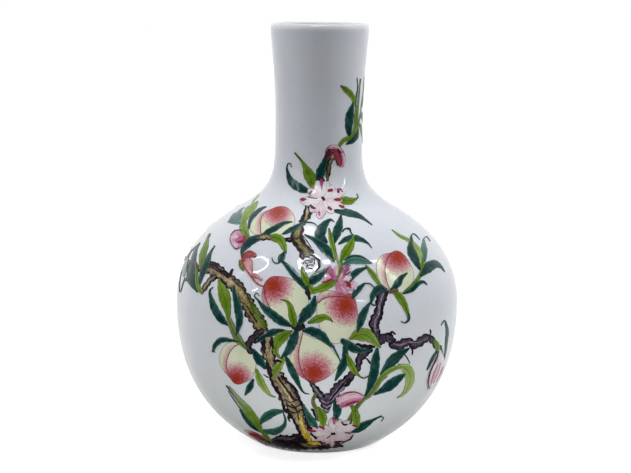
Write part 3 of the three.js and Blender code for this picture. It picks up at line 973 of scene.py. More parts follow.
stipple_scale = 1250.0
peach_enamel, peach_coat = finish_of("peach_enamel")
peach_sun = marked(peach_enamel, "blush")
peach_rim = marked(peach_enamel, "rim")
peach_cleft = marked(peach_enamel, "across")
peach_cream = (0.80, 0.82, 0.66, 1.0)
peach_green = (0.70, 0.75, 0.54, 1.0)
peach_pink = (0.62, 0.25, 0.33, 1.0)
peach_red = (0.36, 0.035, 0.008, 1.0)
peach_crimson = (0.50, 0.09, 0.17, 1.0)
peach_line = (0.13, 0.030, 0.035, 1.0)
cream_share = spread(peach_enamel, grain(peach_enamel, 60.0), 0.35, 0.65, 0.0, 1.0)
peach_colour = blended(peach_enamel, cream_share, peach_cream, peach_green)
soft_pink = spread(peach_enamel, peach_sun, 0.12, 0.50, 0.0, 0.88)
peach_colour = blended(peach_enamel, soft_pink, peach_colour, peach_pink)
cleft_gap = reckoned(peach_enamel, "ABSOLUTE", peach_cleft)
cleft_side = spread(peach_enamel, peach_cleft, -0.9, 0.0, 0.0, 1.0)
cleft_band = spread(peach_enamel, peach_cleft, 1.0, 4.8, 1.0, 0.0)
cleft_pink = reckoned(peach_enamel, "MULTIPLY", cleft_band, cleft_side)
cleft_fade = spread(peach_enamel, peach_sun, -0.75, 0.05, 0.35, 0.90)
cleft_pink = reckoned(peach_enamel, "MULTIPLY", cleft_pink, cleft_fade)
half_pink = spread(peach_enamel, cleft_pink, 0.0, 1.0, 0.0, 0.85)
peach_colour = blended(peach_enamel, half_pink, peach_colour, peach_pink)
peach_place = add_node(peach_enamel, "ShaderNodeTexCoord").outputs["Object"]
stipple = add_node(peach_enamel, "ShaderNodeTexVoronoi", Vector=peach_place, Scale=stipple_scale).outputs
dot_chance = add_node(peach_enamel, "ShaderNodeSeparateColor", i0=stipple["Color"]).outputs[0]
dot_wanted = spread(peach_enamel, peach_sun, 0.04, 0.40, 0.0, 1.0)
dot_wanted = reckoned(peach_enamel, "MAXIMUM", dot_wanted, cleft_pink)
dot_wanted = reckoned(peach_enamel, "SUBTRACT", dot_wanted, dot_chance)
dot_here = spread(peach_enamel, dot_wanted, 0.0, 0.12, 0.0, 0.72)
dot_shape = spread(peach_enamel, stipple["Distance"], 0.40, 0.62, 1.0, 0.0)
dot_share = reckoned(peach_enamel, "MULTIPLY", dot_here, dot_shape)
peach_colour = blended(peach_enamel, dot_share, peach_colour, peach_crimson)
core_grain = cloudy(peach_enamel, 700.0, -0.14, 0.14)
core_edge = reckoned(peach_enamel, "ADD", peach_sun, core_grain)
peach_flame = (0.42, 0.055, 0.06, 1.0)
flame_share = spread(peach_enamel, core_edge, 0.42, 0.66, 0.0, 0.80)
peach_colour = blended(peach_enamel, flame_share, peach_colour, peach_flame)
core_share = spread(peach_enamel, core_edge, 0.60, 0.86, 0.0, 0.95)
peach_colour = blended(peach_enamel, core_share, peach_colour, peach_red)
cleft_line = spread(peach_enamel, cleft_gap, 0.25, 0.62, 0.85, 0.0)
peach_colour = blended(peach_enamel, cleft_line, peach_colour, peach_line)
outline_share = spread(peach_enamel, peach_rim, 0.22, 0.55, 0.85, 0.0)
peach_colour = blended(peach_enamel, outline_share, peach_colour, peach_line)
joined(peach_enamel, peach_colour, peach_coat, "Base Color")
rubbed(peach_enamel, 200.0, 0.10, 0.2, peach_coat)
embossed(peach_enamel, stipple["Distance"], 0.15, 0.0001, peach_coat)

peaches = {
    "peach_upper_left": (
        [(254, 234), (249.5, 229), (251, 223), (256, 218), (262, 213), (270, 209.5), (278, 206.5),
         (286, 207), (292, 212), (295, 219), (294, 226), (288, 232), (280, 235), (270, 236), (262, 236)],
        [(270, 210), (264, 214), (261, 220), (260.5, 229), (262, 236)], (277, 211, 20)),
    "peach_middle_left": (
        [(263, 287), (266, 281), (272, 276.5), (282, 276.5), (292, 279), (300, 284), (306, 291), (309, 300),
         (307, 307), (300, 315), (292, 322), (282, 322), (272, 313), (266, 307), (261.5, 298)],
        [(264, 287), (265.5, 297), (270, 308)], (273, 285, 25)),
    "peach_middle_right": (
        [(317, 304), (318, 296), (324, 291), (332, 290.5), (340, 293), (352, 294), (356, 302), (358, 315),
         (357, 325), (352, 335), (345, 341), (336, 344), (328, 341), (322, 334), (318, 322), (316.5, 312)],
        [(342, 297), (335, 296.5), (325, 298), (318, 303)], (346, 305, 26)),
    "peach_upper_right": (
        [(391, 291), (381, 284), (377, 275), (376, 265), (379, 258), (384, 254), (390, 253), (396, 250.5),
         (402, 253), (408, 260), (413, 270), (414, 278), (411, 285), (405, 291), (398, 293)],
        [(391, 253), (386, 262), (385, 272), (387, 283), (391, 291)], (398, 257, 21)),
    "peach_lower_left": (
        [(233, 341), (225, 345), (220, 353), (219.5, 362), (223, 370), (230, 378), (234, 383), (239, 384.5),
         (246, 382), (252, 378), (256, 368), (256, 358), (253, 352), (246, 345), (239, 341)],
        [(239, 344), (233, 348), (229, 354), (227, 361), (227, 368), (231, 377)], (236.5, 379, 20.5)),
    "peach_lower_middle": (
        [(298, 331), (296, 345), (290, 356), (290, 364), (294, 370), (300, 376), (306, 380), (312, 384),
         (318, 382), (325, 379), (332, 374), (337, 368), (340, 361), (334, 352), (328, 345), (320, 340),
         (312, 337), (305, 334)],
        [(303, 332), (301, 340), (299, 350), (299, 360), (301, 370), (306, 378),
         (312, 383)], (314, 373, 26)),
}
for order, (peach_name, (outline, cleft, blush)) in enumerate(peaches.items()):
    enamelled(peach_name, [fruit(outline, cleft, blush, peach_height + order * peach_rise)], peach_enamel)


# A small unripe fruit lies by the root, seen from the side and half in the dark of the foot.
# It is painted as the ripe ones are, and its end, dark in the shade of the foot, is painted shade in a stroke
# of the blossoms' enamel.
root_bud = (
    [(244, 430), (252, 431), (260, 434.5), (268, 439), (273, 443), (268, 445), (258, 441), (248, 435)],
    [(246, 431), (256, 436), (268, 443)], (257, 437, 15))
enamelled("bud_by_the_root", [fruit(*root_bud, peach_height)], peach_enamel)


# Narrow leaves stand round each fruit. The old ones are a dark blue green, the young ones a yellow green,
# and each is one or two strokes of a full brush, darker where the enamel pools along the midrib.
left_strokes = {
    "corner leaf": (pale_teal, [(228, 222, 1), (233, 219.5, 7), (237, 217, 10), (239.5, 213, 5.5),
        (241, 210, 2.5), (244, 207.5, 1)]),
    "corner leaf, lower half": (pale_teal, [(229, 222.5, 1), (235, 222.5, 4), (241, 223.5, 2)]),
    "young sprout": (fresh, [(248, 237, 4), (244, 229, 8.5), (244, 220, 6.5), (248, 212, 8), (254, 206, 6),
        (257.5, 202, 2)]),
    "sprout tip": (pale_green, [(252, 206, 2), (253, 202, 1.4), (256, 198, 1.2), (259, 195, 0.8)]),
    "thin dark leaf by the sprout": (teal, [(249, 228, 2), (250.5, 220, 4), (256, 213, 4.5),
        (262, 208.5, 3), (266, 207, 1.5)]),
    "leaf over the fruit": (teal, [(264, 234, 3), (269, 231.5, 6), (276, 228, 6), (284, 223.5, 4),
        (292, 222, 1.5)]),
    "leaf under the fruit": (teal, [(283, 234, 2), (288, 231.5, 4.5), (295, 228, 5.5), (304, 222.5, 2.5)]),
    "curl from it": (teal, [(304, 222.5, 1.8), (309, 222.5, 1.5), (314, 223.5, 1.2), (318, 227, 0.8)]),
    "leaf left of the knot": (teal, [(263, 236.5, 4), (255, 239, 7.5), (247, 244.5, 8), (242.5, 251, 4.5),
        (242, 258, 1.5)]),
    "young leaf under the fruit": (green, [(269, 237.5, 4), (275, 238, 8.5), (280.5, 240, 8.5),
        (283.5, 246, 6.5), (285.5, 252, 3)]),
    "first edge leaf": (green, [(201, 268, 4), (202.5, 257, 6.5), (205.5, 247, 6), (207.5, 240, 3),
        (209, 234, 1)]),
    "dark tip of it": (ink, [(207, 241, 0.9), (208.6, 237.6, 1.3), (210.6, 234, 0.8)]),
    "dark edge leaf": (teal, [(199, 286, 2), (203, 272, 6), (208, 260, 5.5), (211, 252, 2.5),
        (215, 246, 1)]),
    "outer edge leaf": (teal, [(197.5, 291, 3), (193, 283, 8), (191.5, 275, 9), (192.6, 265, 6),
        (194.6, 255.5, 4.6), (196.6, 248, 3), (200, 243, 1)]),
    "torn corner of it": (teal, [(184.8, 281, 1), (187.4, 279.4, 4.6), (191.5, 280.5, 7)]),
    "pale leaf at the edge": (pale_wash, [(184, 276, 2), (184.4, 270, 3.4), (186, 263, 3),
        (188, 258.5, 1.8)]),
    "line at the edge": (ink, [(185, 278, 0.9), (183, 284, 0.9), (181, 291, 0.9), (179.8, 292.5, 0.9),
        (179.4, 286, 0.8), (180.6, 277, 0.8), (183, 267.5, 0.8)]),
    "knots at the edge": (ink, [(187, 257, 1.7), (187.4, 261, 1.5), (190.6, 262, 2.2), (188.6, 265, 1.8)]),
    "knots below them": (ink, [(187.4, 266.6, 1), (186.8, 270, 1.9), (187.6, 273, 1)]),
    "line along the edge leaf": (ink, [(188, 258, 0.8), (191.5, 251, 1), (199.5, 243.6, 0.8)]),
    "brown joint at the edge": (chestnut, [(195.6, 262, 2.4), (197, 266, 3.6), (197, 271, 2.8)]),
    "stem at the edge": (green, [(197, 270, 2.4), (197, 277, 3.2), (197.8, 284, 3.8), (200, 289.6, 4.6),
        (202, 293, 3)]),
    "twig to the left leaves": (sap, [(247, 349, 2.5), (243, 344.5, 5), (238.5, 339, 7.2), (233, 329, 7),
        (229, 319, 4.5)]),
    "leaf up from the arm": (green, [(228.5, 319, 3), (228, 312, 6), (226, 303, 10.5), (224, 294, 11),
        (221.5, 287, 8), (219.5, 281, 3)]),
    "dark leaf left of it": (teal, [(228, 325, 2), (221, 318.5, 7.5), (215, 309, 7.5), (211.5, 299, 4.5),
        (210, 291, 2), (213, 287.5, 1)]),
    "dark leaf right of it": (teal, [(237, 334, 2.5), (239.5, 321, 7), (238.5, 309, 8), (235.5, 297, 5.5),
        (234, 286, 2)]),
    "leaf over the left fruit": (teal, [(239, 341.5, 1.5), (230, 340, 3.5), (222, 340, 6), (216, 344.5, 5),
        (213, 351, 2)]),
    "curl of it": (teal, [(213, 350, 1.5), (215, 352, 1)]),
    "calyx of the red bud": (green, [(240, 261, 2), (241, 266, 4), (243.5, 270.5, 1.8)]),
}
leaves("leaves_on_the_left", left_strokes)

centre_strokes = {
    "broad leaf": (teal, [(326, 242, 4), (320.5, 235.5, 11), (322.5, 227.5, 9.5), (330, 220, 3),
        (334, 222, 1)]),
    "upright leaf": (teal, [(334.5, 242, 3), (336.5, 234, 8.5), (339, 226, 8.5), (341, 215.5, 2)]),
    "upright young stem": (green, [(329, 229, 2), (331, 238, 5), (333.5, 248, 5), (335, 258, 4)]),
    "leaf to the upper left": (teal, [(333.5, 261, 3), (328, 252.5, 9), (321, 245, 8.5), (313, 239, 4.5),
        (305, 235, 1.5)]),
    "arched leaf": (teal, [(339, 244, 2), (346, 239.5, 6), (354, 238, 6.5), (362, 240, 4.5),
        (368, 243.5, 2), (371.5, 248, 1)]),
    "curl above it": (teal, [(342.5, 232, 1.5), (345, 229, 1.8), (349.5, 229, 2.4), (351, 233, 1.4),
        (354, 236, 1)]),
    "young leaf to the right": (green, [(340.5, 261, 3), (345, 254, 9), (350, 246, 9), (353.5, 236.5, 3)]),
    "pale stems": (pale_green, [(335, 250, 2), (337, 259, 2.5), (339.5, 268, 2)]),
    "stem to the blossoms": (green, [(341, 262, 3.5), (341, 269, 4), (338, 276, 6), (331.5, 282.5, 8),
        (322, 288, 8), (312, 291.5, 5)]),
    "pale leaf to the right": (pale_teal, [(344, 264, 3), (352, 260, 8), (361, 260.5, 8), (371, 263, 2)]),
    "dark edge of it": (teal, [(345, 260, 1.5), (352, 256.5, 3), (361, 257, 2.5), (369, 261, 1)]),
    "leaf below it": (teal, [(348.5, 282, 3), (355, 273.5, 7), (363, 269, 3.5), (368, 268, 1.5)]),
    "young leaf to the right fruit": (green, [(366, 266, 2), (371, 272, 5), (376, 279, 5),
        (381, 287, 2.5)]),
    "leaf left of the blossoms": (teal, [(309, 284, 6), (316, 278, 10), (323, 272, 6), (330, 266.5, 2)]),
    "upright young leaf": (green, [(302.5, 269, 4), (304.5, 277, 7), (308, 284, 7), (313, 291, 5)]),
    "leaf over the middle left fruit": (teal, [(307, 290, 3), (300, 281.5, 6.5), (292, 271.5, 7),
        (283, 262, 3)]),
    "its other leaf": (teal, [(285.5, 252.5, 3), (282, 257, 7), (280, 260, 5.5), (279, 262, 2)]),
    "curl of it": (teal, [(282, 261, 1.5), (277, 263.5, 1.4), (273.5, 262, 1.2), (272, 258, 0.9)]),
    "lower left leaf": (teal, [(291, 326, 3), (282, 321.5, 8.5), (273, 315, 9), (264.5, 308, 6),
        (258, 300, 2)]),
    "curl at its tip": (teal, [(258, 300, 1.6), (254.5, 296, 1.3), (257, 293, 1), (259.5, 296, 0.8)]),
    "leaf up on the fruit": (green, [(294.5, 325, 5), (292.5, 316, 8), (290.5, 307, 6), (287, 301.5, 3),
        (281, 299.5, 1)]),
    "dark leaf between the fruits": (teal, [(299.5, 323, 5), (306, 314, 11), (312.5, 306, 9),
        (315, 297, 3)]),
    "young leaf on the right fruit": (green, [(309, 322.5, 3), (318, 319, 8), (325, 317, 6),
        (331, 320, 2.5), (332.5, 322, 1)]),
    "dark leaf under the right fruit": (teal, [(304, 330.5, 4), (312, 331, 9), (321, 335.5, 9.5),
        (328, 342.5, 5.5), (333.5, 347, 3)]),
    "its grey tip": (pale_teal, [(332, 345, 2.5), (336.5, 353, 2), (340.5, 361.5, 1.2)]),
    "leaf right of the right fruit": (teal, [(353, 297, 4), (357, 290.5, 6.5), (364, 284, 2.5)]),
    "line to the right fruit": (teal, [(364, 283.5, 1.3), (370, 284, 1.3), (375.5, 289, 0.8)]),
    "curled leaf by the stem": (teal, [(387, 291, 2), (380, 288, 7), (373.5, 294, 7), (370.5, 303, 2.5)]),
    "thin leaf by the stem": (teal, [(369.5, 303, 1.5), (373, 305, 1.8), (377, 305.5, 0.9)]),
    "leaf down by the right fruit": (teal, [(357.5, 331, 3), (361, 320, 8), (364.5, 311, 7),
        (369.5, 303, 2)]),
    "big young leaf": (fresh, [(350, 339, 2), (356, 335.5, 10), (364, 334.5, 14), (371, 338.5, 10),
        (380, 347, 2)]),
    "dark leaf below it": (teal, [(343, 341, 6), (349, 345.5, 9), (358, 350, 6.5), (372, 350, 1.8)]),
    "long dark leaf downwards": (teal, [(345, 347, 5), (345, 358, 7.5), (341.5, 368, 8),
        (335.5, 379.5, 2.5)]),
    "young leaf by it": (green, [(345.5, 354, 4), (350, 362.5, 7), (354, 370.5, 6), (359, 375.5, 2)]),
    "tip by the plum stub": (green, [(359, 376, 1.5), (364, 378, 1.3), (369.5, 375, 0.8)]),
}
leaves("leaves_in_the_middle", centre_strokes)

right_strokes = {
    "stem of the right twig": (sap, [(345, 425, 1.8), (349, 419, 3), (354, 411, 3.8), (358, 405, 4.6),
        (363, 399, 5.4), (370, 394, 5.4), (376, 387, 4.8), (380, 381, 4), (386, 376, 3)]),
    "brown foot of the stem": (chestnut, [(357.5, 404.5, 2.2), (354.5, 410.5, 2.6), (352, 417, 2.4),
        (350.5, 424, 2)]),
    "long young leaf": (pale_green, [(392, 230, 1), (400, 236, 3), (408, 240, 3.5), (415, 246, 5),
        (420.5, 254, 6), (422.5, 262, 6)]),
    "its stem": (green, [(422.5, 260, 5), (422, 271, 4.5), (417.5, 279, 4), (412, 285, 3), (405, 291, 2)]),
    "dark leaf upwards": (teal, [(420, 269, 3), (415, 259.5, 8), (411, 250, 8), (411, 238, 3)]),
    "curl of it": (teal, [(410.5, 237, 1.5), (413, 233.8, 1.3), (416, 235.5, 1.2), (419.5, 239.5, 0.9)]),
    "grey leaf upwards": (pale_teal, [(424, 260, 4), (424, 250, 6.5), (423.5, 240, 2.5)]),
    "curl of the grey leaf": (teal, [(423.5, 239, 1.3), (426.5, 236.5, 1.2), (430, 241, 0.9)]),
    "leaf to the right": (teal, [(421, 275, 4), (427, 268.5, 10.5), (434.5, 264.5, 9), (440.5, 266.5, 3.5),
        (444.5, 271.5, 1)]),
    "leaf under the right fruit": (teal, [(403, 293.5, 2), (411, 290, 5), (418, 283.5, 5), (423.5, 282, 3),
        (426.5, 284.5, 1.5)]),
    "leaf on the right fruit": (teal, [(391.5, 291, 3.5), (397.5, 283.5, 8), (401.5, 277.5, 5),
        (406.5, 273.5, 2)]),
    "young leaf down": (green, [(393, 291, 3), (399.5, 297, 7), (404, 304, 6.5), (407, 312, 4),
        (408.5, 318, 1.8)]),
    "dark tip of it": (teal, [(405.5, 308.5, 1.4), (408, 314.5, 3.2), (408.5, 319.5, 2.8), (405, 323, 1.4),
        (401, 321.5, 1)]),
    "edge leaf": (teal, [(443.5, 361, 1.6), (445.5, 350, 2), (446.5, 340, 3), (447, 330, 3),
        (444.5, 320.5, 1.6), (441, 325, 1)]),
    "leaf to the edge bud": (teal, [(440.5, 346, 2), (441.5, 353, 3), (443, 361, 2)]),
    "leaf left of the edge bud": (teal, [(437, 350, 1.6), (431.5, 360, 3.2), (427, 369.5, 1.4)]),
    "joint at the edge": (green, [(434.5, 340.5, 3), (437, 346, 5.5), (438, 351.5, 3.4)]),
    "leaf under the zigzag": (teal, [(408.5, 348.5, 2), (398.5, 355, 9), (390, 363, 9), (380.5, 374, 2)]),
    "curl at its end": (teal, [(404, 354, 1.5), (407, 358, 1.3), (409.5, 363, 0.9)]),
    "long leaf down left": (teal, [(365.5, 395, 2), (370.5, 384, 7), (374, 372, 9.5), (375.5, 360, 8.5),
        (377, 349, 3.5)]),
    "young leaf over it": (fresh, [(374.5, 388, 3), (383, 375.5, 5), (392, 369, 5), (401, 367, 2.5)]),
    "young leaf to the right": (straw_green, [(399, 365, 3), (407, 370, 11), (410, 379, 9), (407, 388, 6),
        (402.5, 394.5, 3), (397, 397.5, 1)]),
    "dark leaf below": (teal, [(374, 394.5, 1.5), (382, 390, 6), (389, 386, 10), (396, 380, 8.5),
        (404, 374.5, 3)]),
}
leaves("leaves_on_the_right", right_strokes)

lower_strokes = {
    "leaf over the trunk": (teal, [(284, 330, 2), (273, 332.5, 7.5), (263.5, 337, 7), (255, 343, 2)]),
    "young leaf over the trunk": (green, [(292, 331, 2), (284, 335.5, 11), (277.5, 342, 11),
        (275.5, 350, 6), (279, 357, 3), (283, 358.5, 1)]),
    "young leaf right of the trunk": (fresh, [(271, 378, 3), (276.5, 369.5, 9), (285, 357.5, 3)]),
    "leaf left of the lower fruit": (teal, [(297, 330, 5), (293.5, 340, 9.5), (289, 349.5, 8.5),
        (281.5, 358, 2)]),
    "long leaf by the lower fruit": (teal, [(285.5, 356, 2.5), (290, 366, 7), (295, 376, 7),
        (299.5, 386, 3.5), (304, 392.5, 1.8), (309, 394, 1)]),
    "leaf left of the trunk": (teal, [(253.5, 350.5, 4), (258.5, 359, 8.5), (265, 367, 5)]),
    "young leaf left of the trunk": (pale_green, [(256.5, 370, 3), (260, 380, 7), (266, 390, 5.5),
        (271, 395.5, 2), (275.5, 397, 1)]),
    "small dark leaf": (teal, [(253, 380, 3), (250, 387, 7), (245.5, 394.5, 2)]),
    "curl by the trunk": (ink, [(264, 374.5, 1.1), (268, 377, 1.3), (272.5, 376, 1)]),
    "leaf left of the root": (sea_green, [(284, 411, 2), (274, 412.6, 7.4), (265.5, 417, 8.4),
        (260, 423.5, 3)]),
    "curved leaf by the root": (sea_green, [(283.5, 413, 1.5), (285.5, 420, 2.6), (283.5, 426.5, 5),
        (276, 431, 7), (268, 431.5, 5), (260.5, 430, 2)]),
    "small leaf by the root": (teal, [(260.5, 431.5, 1.8), (252.5, 426, 4), (246, 418.5, 4.2),
        (240.5, 409.5, 2.4)]),
    "long young leaf": (fading, [(261, 430.5, 4), (256, 421, 7.5), (249, 412, 8.5), (243, 404.5, 6.5),
        (236, 396, 4.5), (229, 387, 2)]),
    "line along it": (ink, [(241.5, 410, 0.8), (234, 399.5, 1), (228.5, 391, 0.8)]),
    "dark tip above it": (ink, [(242, 405, 0.7), (236, 398, 0.9), (231, 391.5, 1.6), (226.5, 385.5, 1.2)]),
    "young leaf at the root": (green, [(262, 431, 3), (266, 436, 4), (271, 441, 2)]),
    "leaf by the fork": (sea_green, [(303.5, 406, 3), (307.5, 414, 5.5), (312, 421.5, 8.5), (317, 427, 3)]),
    "leaf right of the fork": (teal, [(334.5, 401, 3), (337, 409, 9), (336, 417, 6)]),
    "young leaf under the fork": (green, [(318.5, 408, 3), (322.5, 416, 9.5), (323, 426, 4)]),
    "stem under the fork": (olive, [(316, 393, 3), (313, 401, 4), (316, 409, 4), (318, 420, 2.5)]),
    "young leaf by the low bloom": (green, [(355, 408, 4), (355.5, 416, 8.5), (357, 425, 6)]),
    "leaf by the low bloom": (teal, [(351.5, 432, 2), (359, 428.5, 7), (366, 424, 6.5), (373.5, 419.5, 2.5),
        (381, 416, 1.5)]),
    "curl at its tip": (teal, [(380, 416, 1.2), (383.5, 417.5, 1.1), (381, 421, 0.8)]),
    "calyx of the low bloom": (green, [(349, 403, 2), (351.5, 405.5, 4.5), (353, 410, 3)]),
}
leaves("leaves_at_the_bottom", lower_strokes)


# The blossoms and buds are in an opaque white enamel with more or less rose, thick enough to feel with
# a finger. Each petal is one dab, and crimson tips and fine lines are drawn over it with a thin brush.
# The striped bud at the right edge and the painted shade on the end of the small fruit by the root are in it
# too.
petal_enamel, petal_coat = finish_of("petal_enamel")
petal_tint = tint_of(petal_enamel)
petal_rim = marked(petal_enamel, "rim")
petal_across = marked(petal_enamel, "across")
petal_along = marked(petal_enamel, "along")
petal_share = marked(petal_enamel, "blush")
petal_cloud = spread(petal_enamel, grain(petal_enamel, 260.0), 0.40, 0.70, 0.0, 0.20)
petal_white = (0.87, 0.85, 0.89, 1.0)
petal_paleness = add_node(petal_enamel, "ShaderNodeSeparateColor", i0=petal_tint).outputs[1]
petal_paleness = spread(petal_enamel, petal_paleness, 0.20, 0.55, 0.1, 1.0)
petal_cloud = reckoned(petal_enamel, "MULTIPLY", petal_cloud, petal_paleness)
petal_colour = blended(petal_enamel, petal_cloud, petal_tint, petal_white)
petal_heart = spread(petal_enamel, petal_rim, 0.8, 2.4, 0.0, 0.35)
petal_heart = reckoned(petal_enamel, "MULTIPLY", petal_heart, petal_paleness)
petal_colour = blended(petal_enamel, petal_heart, petal_colour, petal_white)
petal_hair = hairs(petal_enamel, petal_across, petal_along, (1.6, 0.12, 1.0), 1.0)
petal_deep = add_node(petal_enamel, "ShaderNodeHueSaturation", Color=petal_tint, Saturation=1.5, Value=0.33)
petal_deep = petal_deep.outputs["Color"]
hair_share = spread(petal_enamel, petal_hair, 0.52, 0.66, 0.0, 0.55)
petal_colour = blended(petal_enamel, hair_share, petal_colour, petal_deep)
petal_edge = spread(petal_enamel, petal_rim, 0.30, 0.62, 0.90, 0.0)
petal_edge = reckoned(petal_enamel, "MULTIPLY", petal_edge, petal_share)
petal_colour = blended(petal_enamel, petal_edge, petal_colour, petal_deep)
joined(petal_enamel, petal_colour, petal_coat, "Base Color")
rubbed(petal_enamel, 300.0, 0.15, 0.3, petal_coat)
embossed(petal_enamel, petal_hair, 0.3, 0.0002, petal_coat)

blush_white = [(0.84, 0.79, 0.85), (0.83, 0.75, 0.82)]
faded_white = [(0.71, 0.65, 0.67), (0.70, 0.60, 0.62)]
faded_rose = [(0.68, 0.54, 0.57), (0.66, 0.46, 0.52)]
rose_white = [(0.76, 0.60, 0.69), (0.76, 0.58, 0.67)]
pink = [(0.74, 0.40, 0.53), (0.73, 0.43, 0.54)]
rose = [(0.52, 0.16, 0.29), (0.62, 0.27, 0.41)]
magenta = [(0.36, 0.06, 0.19), (0.48, 0.14, 0.31)]
crimson = [(0.27, 0.018, 0.045), (0.33, 0.03, 0.06)]
dark_crimson = [(0.05, 0.010, 0.018), (0.06, 0.012, 0.020)]
flushed = [(0.50, 0.16, 0.18), (0.60, 0.27, 0.29)]
violet = [(0.20, 0.05, 0.15), (0.27, 0.09, 0.21)]
cherry = [(0.26, 0.02, 0.022), (0.34, 0.035, 0.035)]
# A dark brown for the painted shade on the end of the small fruit by the root.
foot_shade_brown = [(0.11, 0.028, 0.024), (0.06, 0.024, 0.022)]
petal_height = 0.00042
bloom_lift = 0.00008
petal_rise = 0.000014
petal_crown = 0.40
fine_crown = 0.05
fine_width = 4.5
fine_edge = 0.25


def petals(name, strokes, height=petal_height, degrees_round=0):
    patches = []
    for order, (tints, points) in enumerate(strokes.values()):
        widest = max(width for across, down, width in points)
        fine = widest < fine_width or tints in (magenta, cherry, crimson, dark_crimson)
        crown = fine_crown if fine else petal_crown
        patch = brushed(points, height + order * petal_rise, tints, crown=crown)
        if fine:
            patch[2]["blush"] *= fine_edge
        patches.append(carried_round(patch, degrees_round))
    return enamelled(name, patches, petal_enamel)


neck_blossom = {
    "top petal": (blush_white, [(322, 197, 3), (323, 190, 8.5), (325, 184, 10.5), (326, 180.5, 6)]),
    "left of the top petal": (blush_white, [(320, 197, 3), (318, 190, 7.5), (317.5, 184, 7.5),
        (318.5, 180.5, 5)]),
    "far upper right petal": (blush_white, [(326, 198, 3), (332, 196, 7.5), (338.5, 193.5, 9.5),
        (342, 192, 6.5)]),
    "upper right petal": (blush_white, [(325, 197, 3), (328, 192.5, 8.5), (331.5, 188.5, 8)]),
    "lower right petal": (blush_white, [(325, 202, 3), (331, 204, 8.5), (337, 206, 9),
        (341.5, 207.5, 6.5)]),
    "right petal": (rose_white, [(326, 200, 3), (331, 199.5, 8), (336, 200, 8), (340, 200.5, 4.5)]),
    "left bottom petal": (rose_white, [(320, 201, 3), (316, 205.5, 9.5), (313, 209, 8)]),
    "bottom right petal": (blush_white, [(324, 203, 3), (328, 206.5, 9.5), (331, 210, 8)]),
    "bottom petal": (rose_white, [(322, 201, 4), (321.5, 206, 10.5), (321, 211, 11.5), (320, 215, 8)]),
    "left petal": (blush_white, [(320, 200, 4), (313, 201, 9.5), (306, 201.5, 9), (302, 200.5, 5)]),
    "upper left petal": (rose_white, [(320, 198, 3), (315.5, 194.5, 9.5), (311.5, 192, 8)]),
    "tip of the top petal": (dark_crimson, [(318.5, 179.6, 2.6), (321.3, 179, 4.4), (323.8, 180.6, 2.4)]),
    "streak in the top petal": (magenta, [(321.3, 181, 4), (321.5, 185, 2.6), (321.6, 190, 0.8)]),
    "tip of the right petal": (cherry, [(334, 200.2, 1.2), (336.8, 200, 3.2), (340, 200.2, 2.4)]),
    "spot upper right": (crimson, [(328.8, 190.8, 3), (331.4, 190.4, 3.2)]),
    "second spot upper right": (crimson, [(338.2, 189.6, 2.4), (338.2, 192.2, 2.8)]),
    "line upper right": (dark_crimson, [(339.8, 188.8, 0.9), (342.2, 192.2, 1)]),
    "spot lower right": (cherry, [(339.6, 206, 2), (342.8, 207.5, 3.2)]),
    "spot below": (crimson, [(328.8, 208.2, 3), (331, 209.8, 2.4)]),
    "spot at the left": (crimson, [(300.6, 200.2, 1.6), (303, 199.8, 3.8), (306, 199.8, 1.4)]),
    "spot upper left": (dark_crimson, [(310, 193.4, 2.4), (311.8, 191.8, 1.6)]),
    "dark spot lower left": (dark_crimson, [(310.5, 205.5, 1.6), (312.5, 208, 2.8), (315, 208.8, 1.8)]),
    "spot at the bottom": (magenta, [(319, 213, 2.4), (319.4, 215.4, 2)]),
    "heart": (dark_crimson, [(322.4, 198.2, 2.6), (323.8, 199.8, 3)]),
    "line in the left petal": (dark_crimson, [(308, 197.4, 0.7), (313, 198.5, 0.9), (317.5, 198.7, 0.8)]),
}
petals("blossom_at_the_neck", neck_blossom)

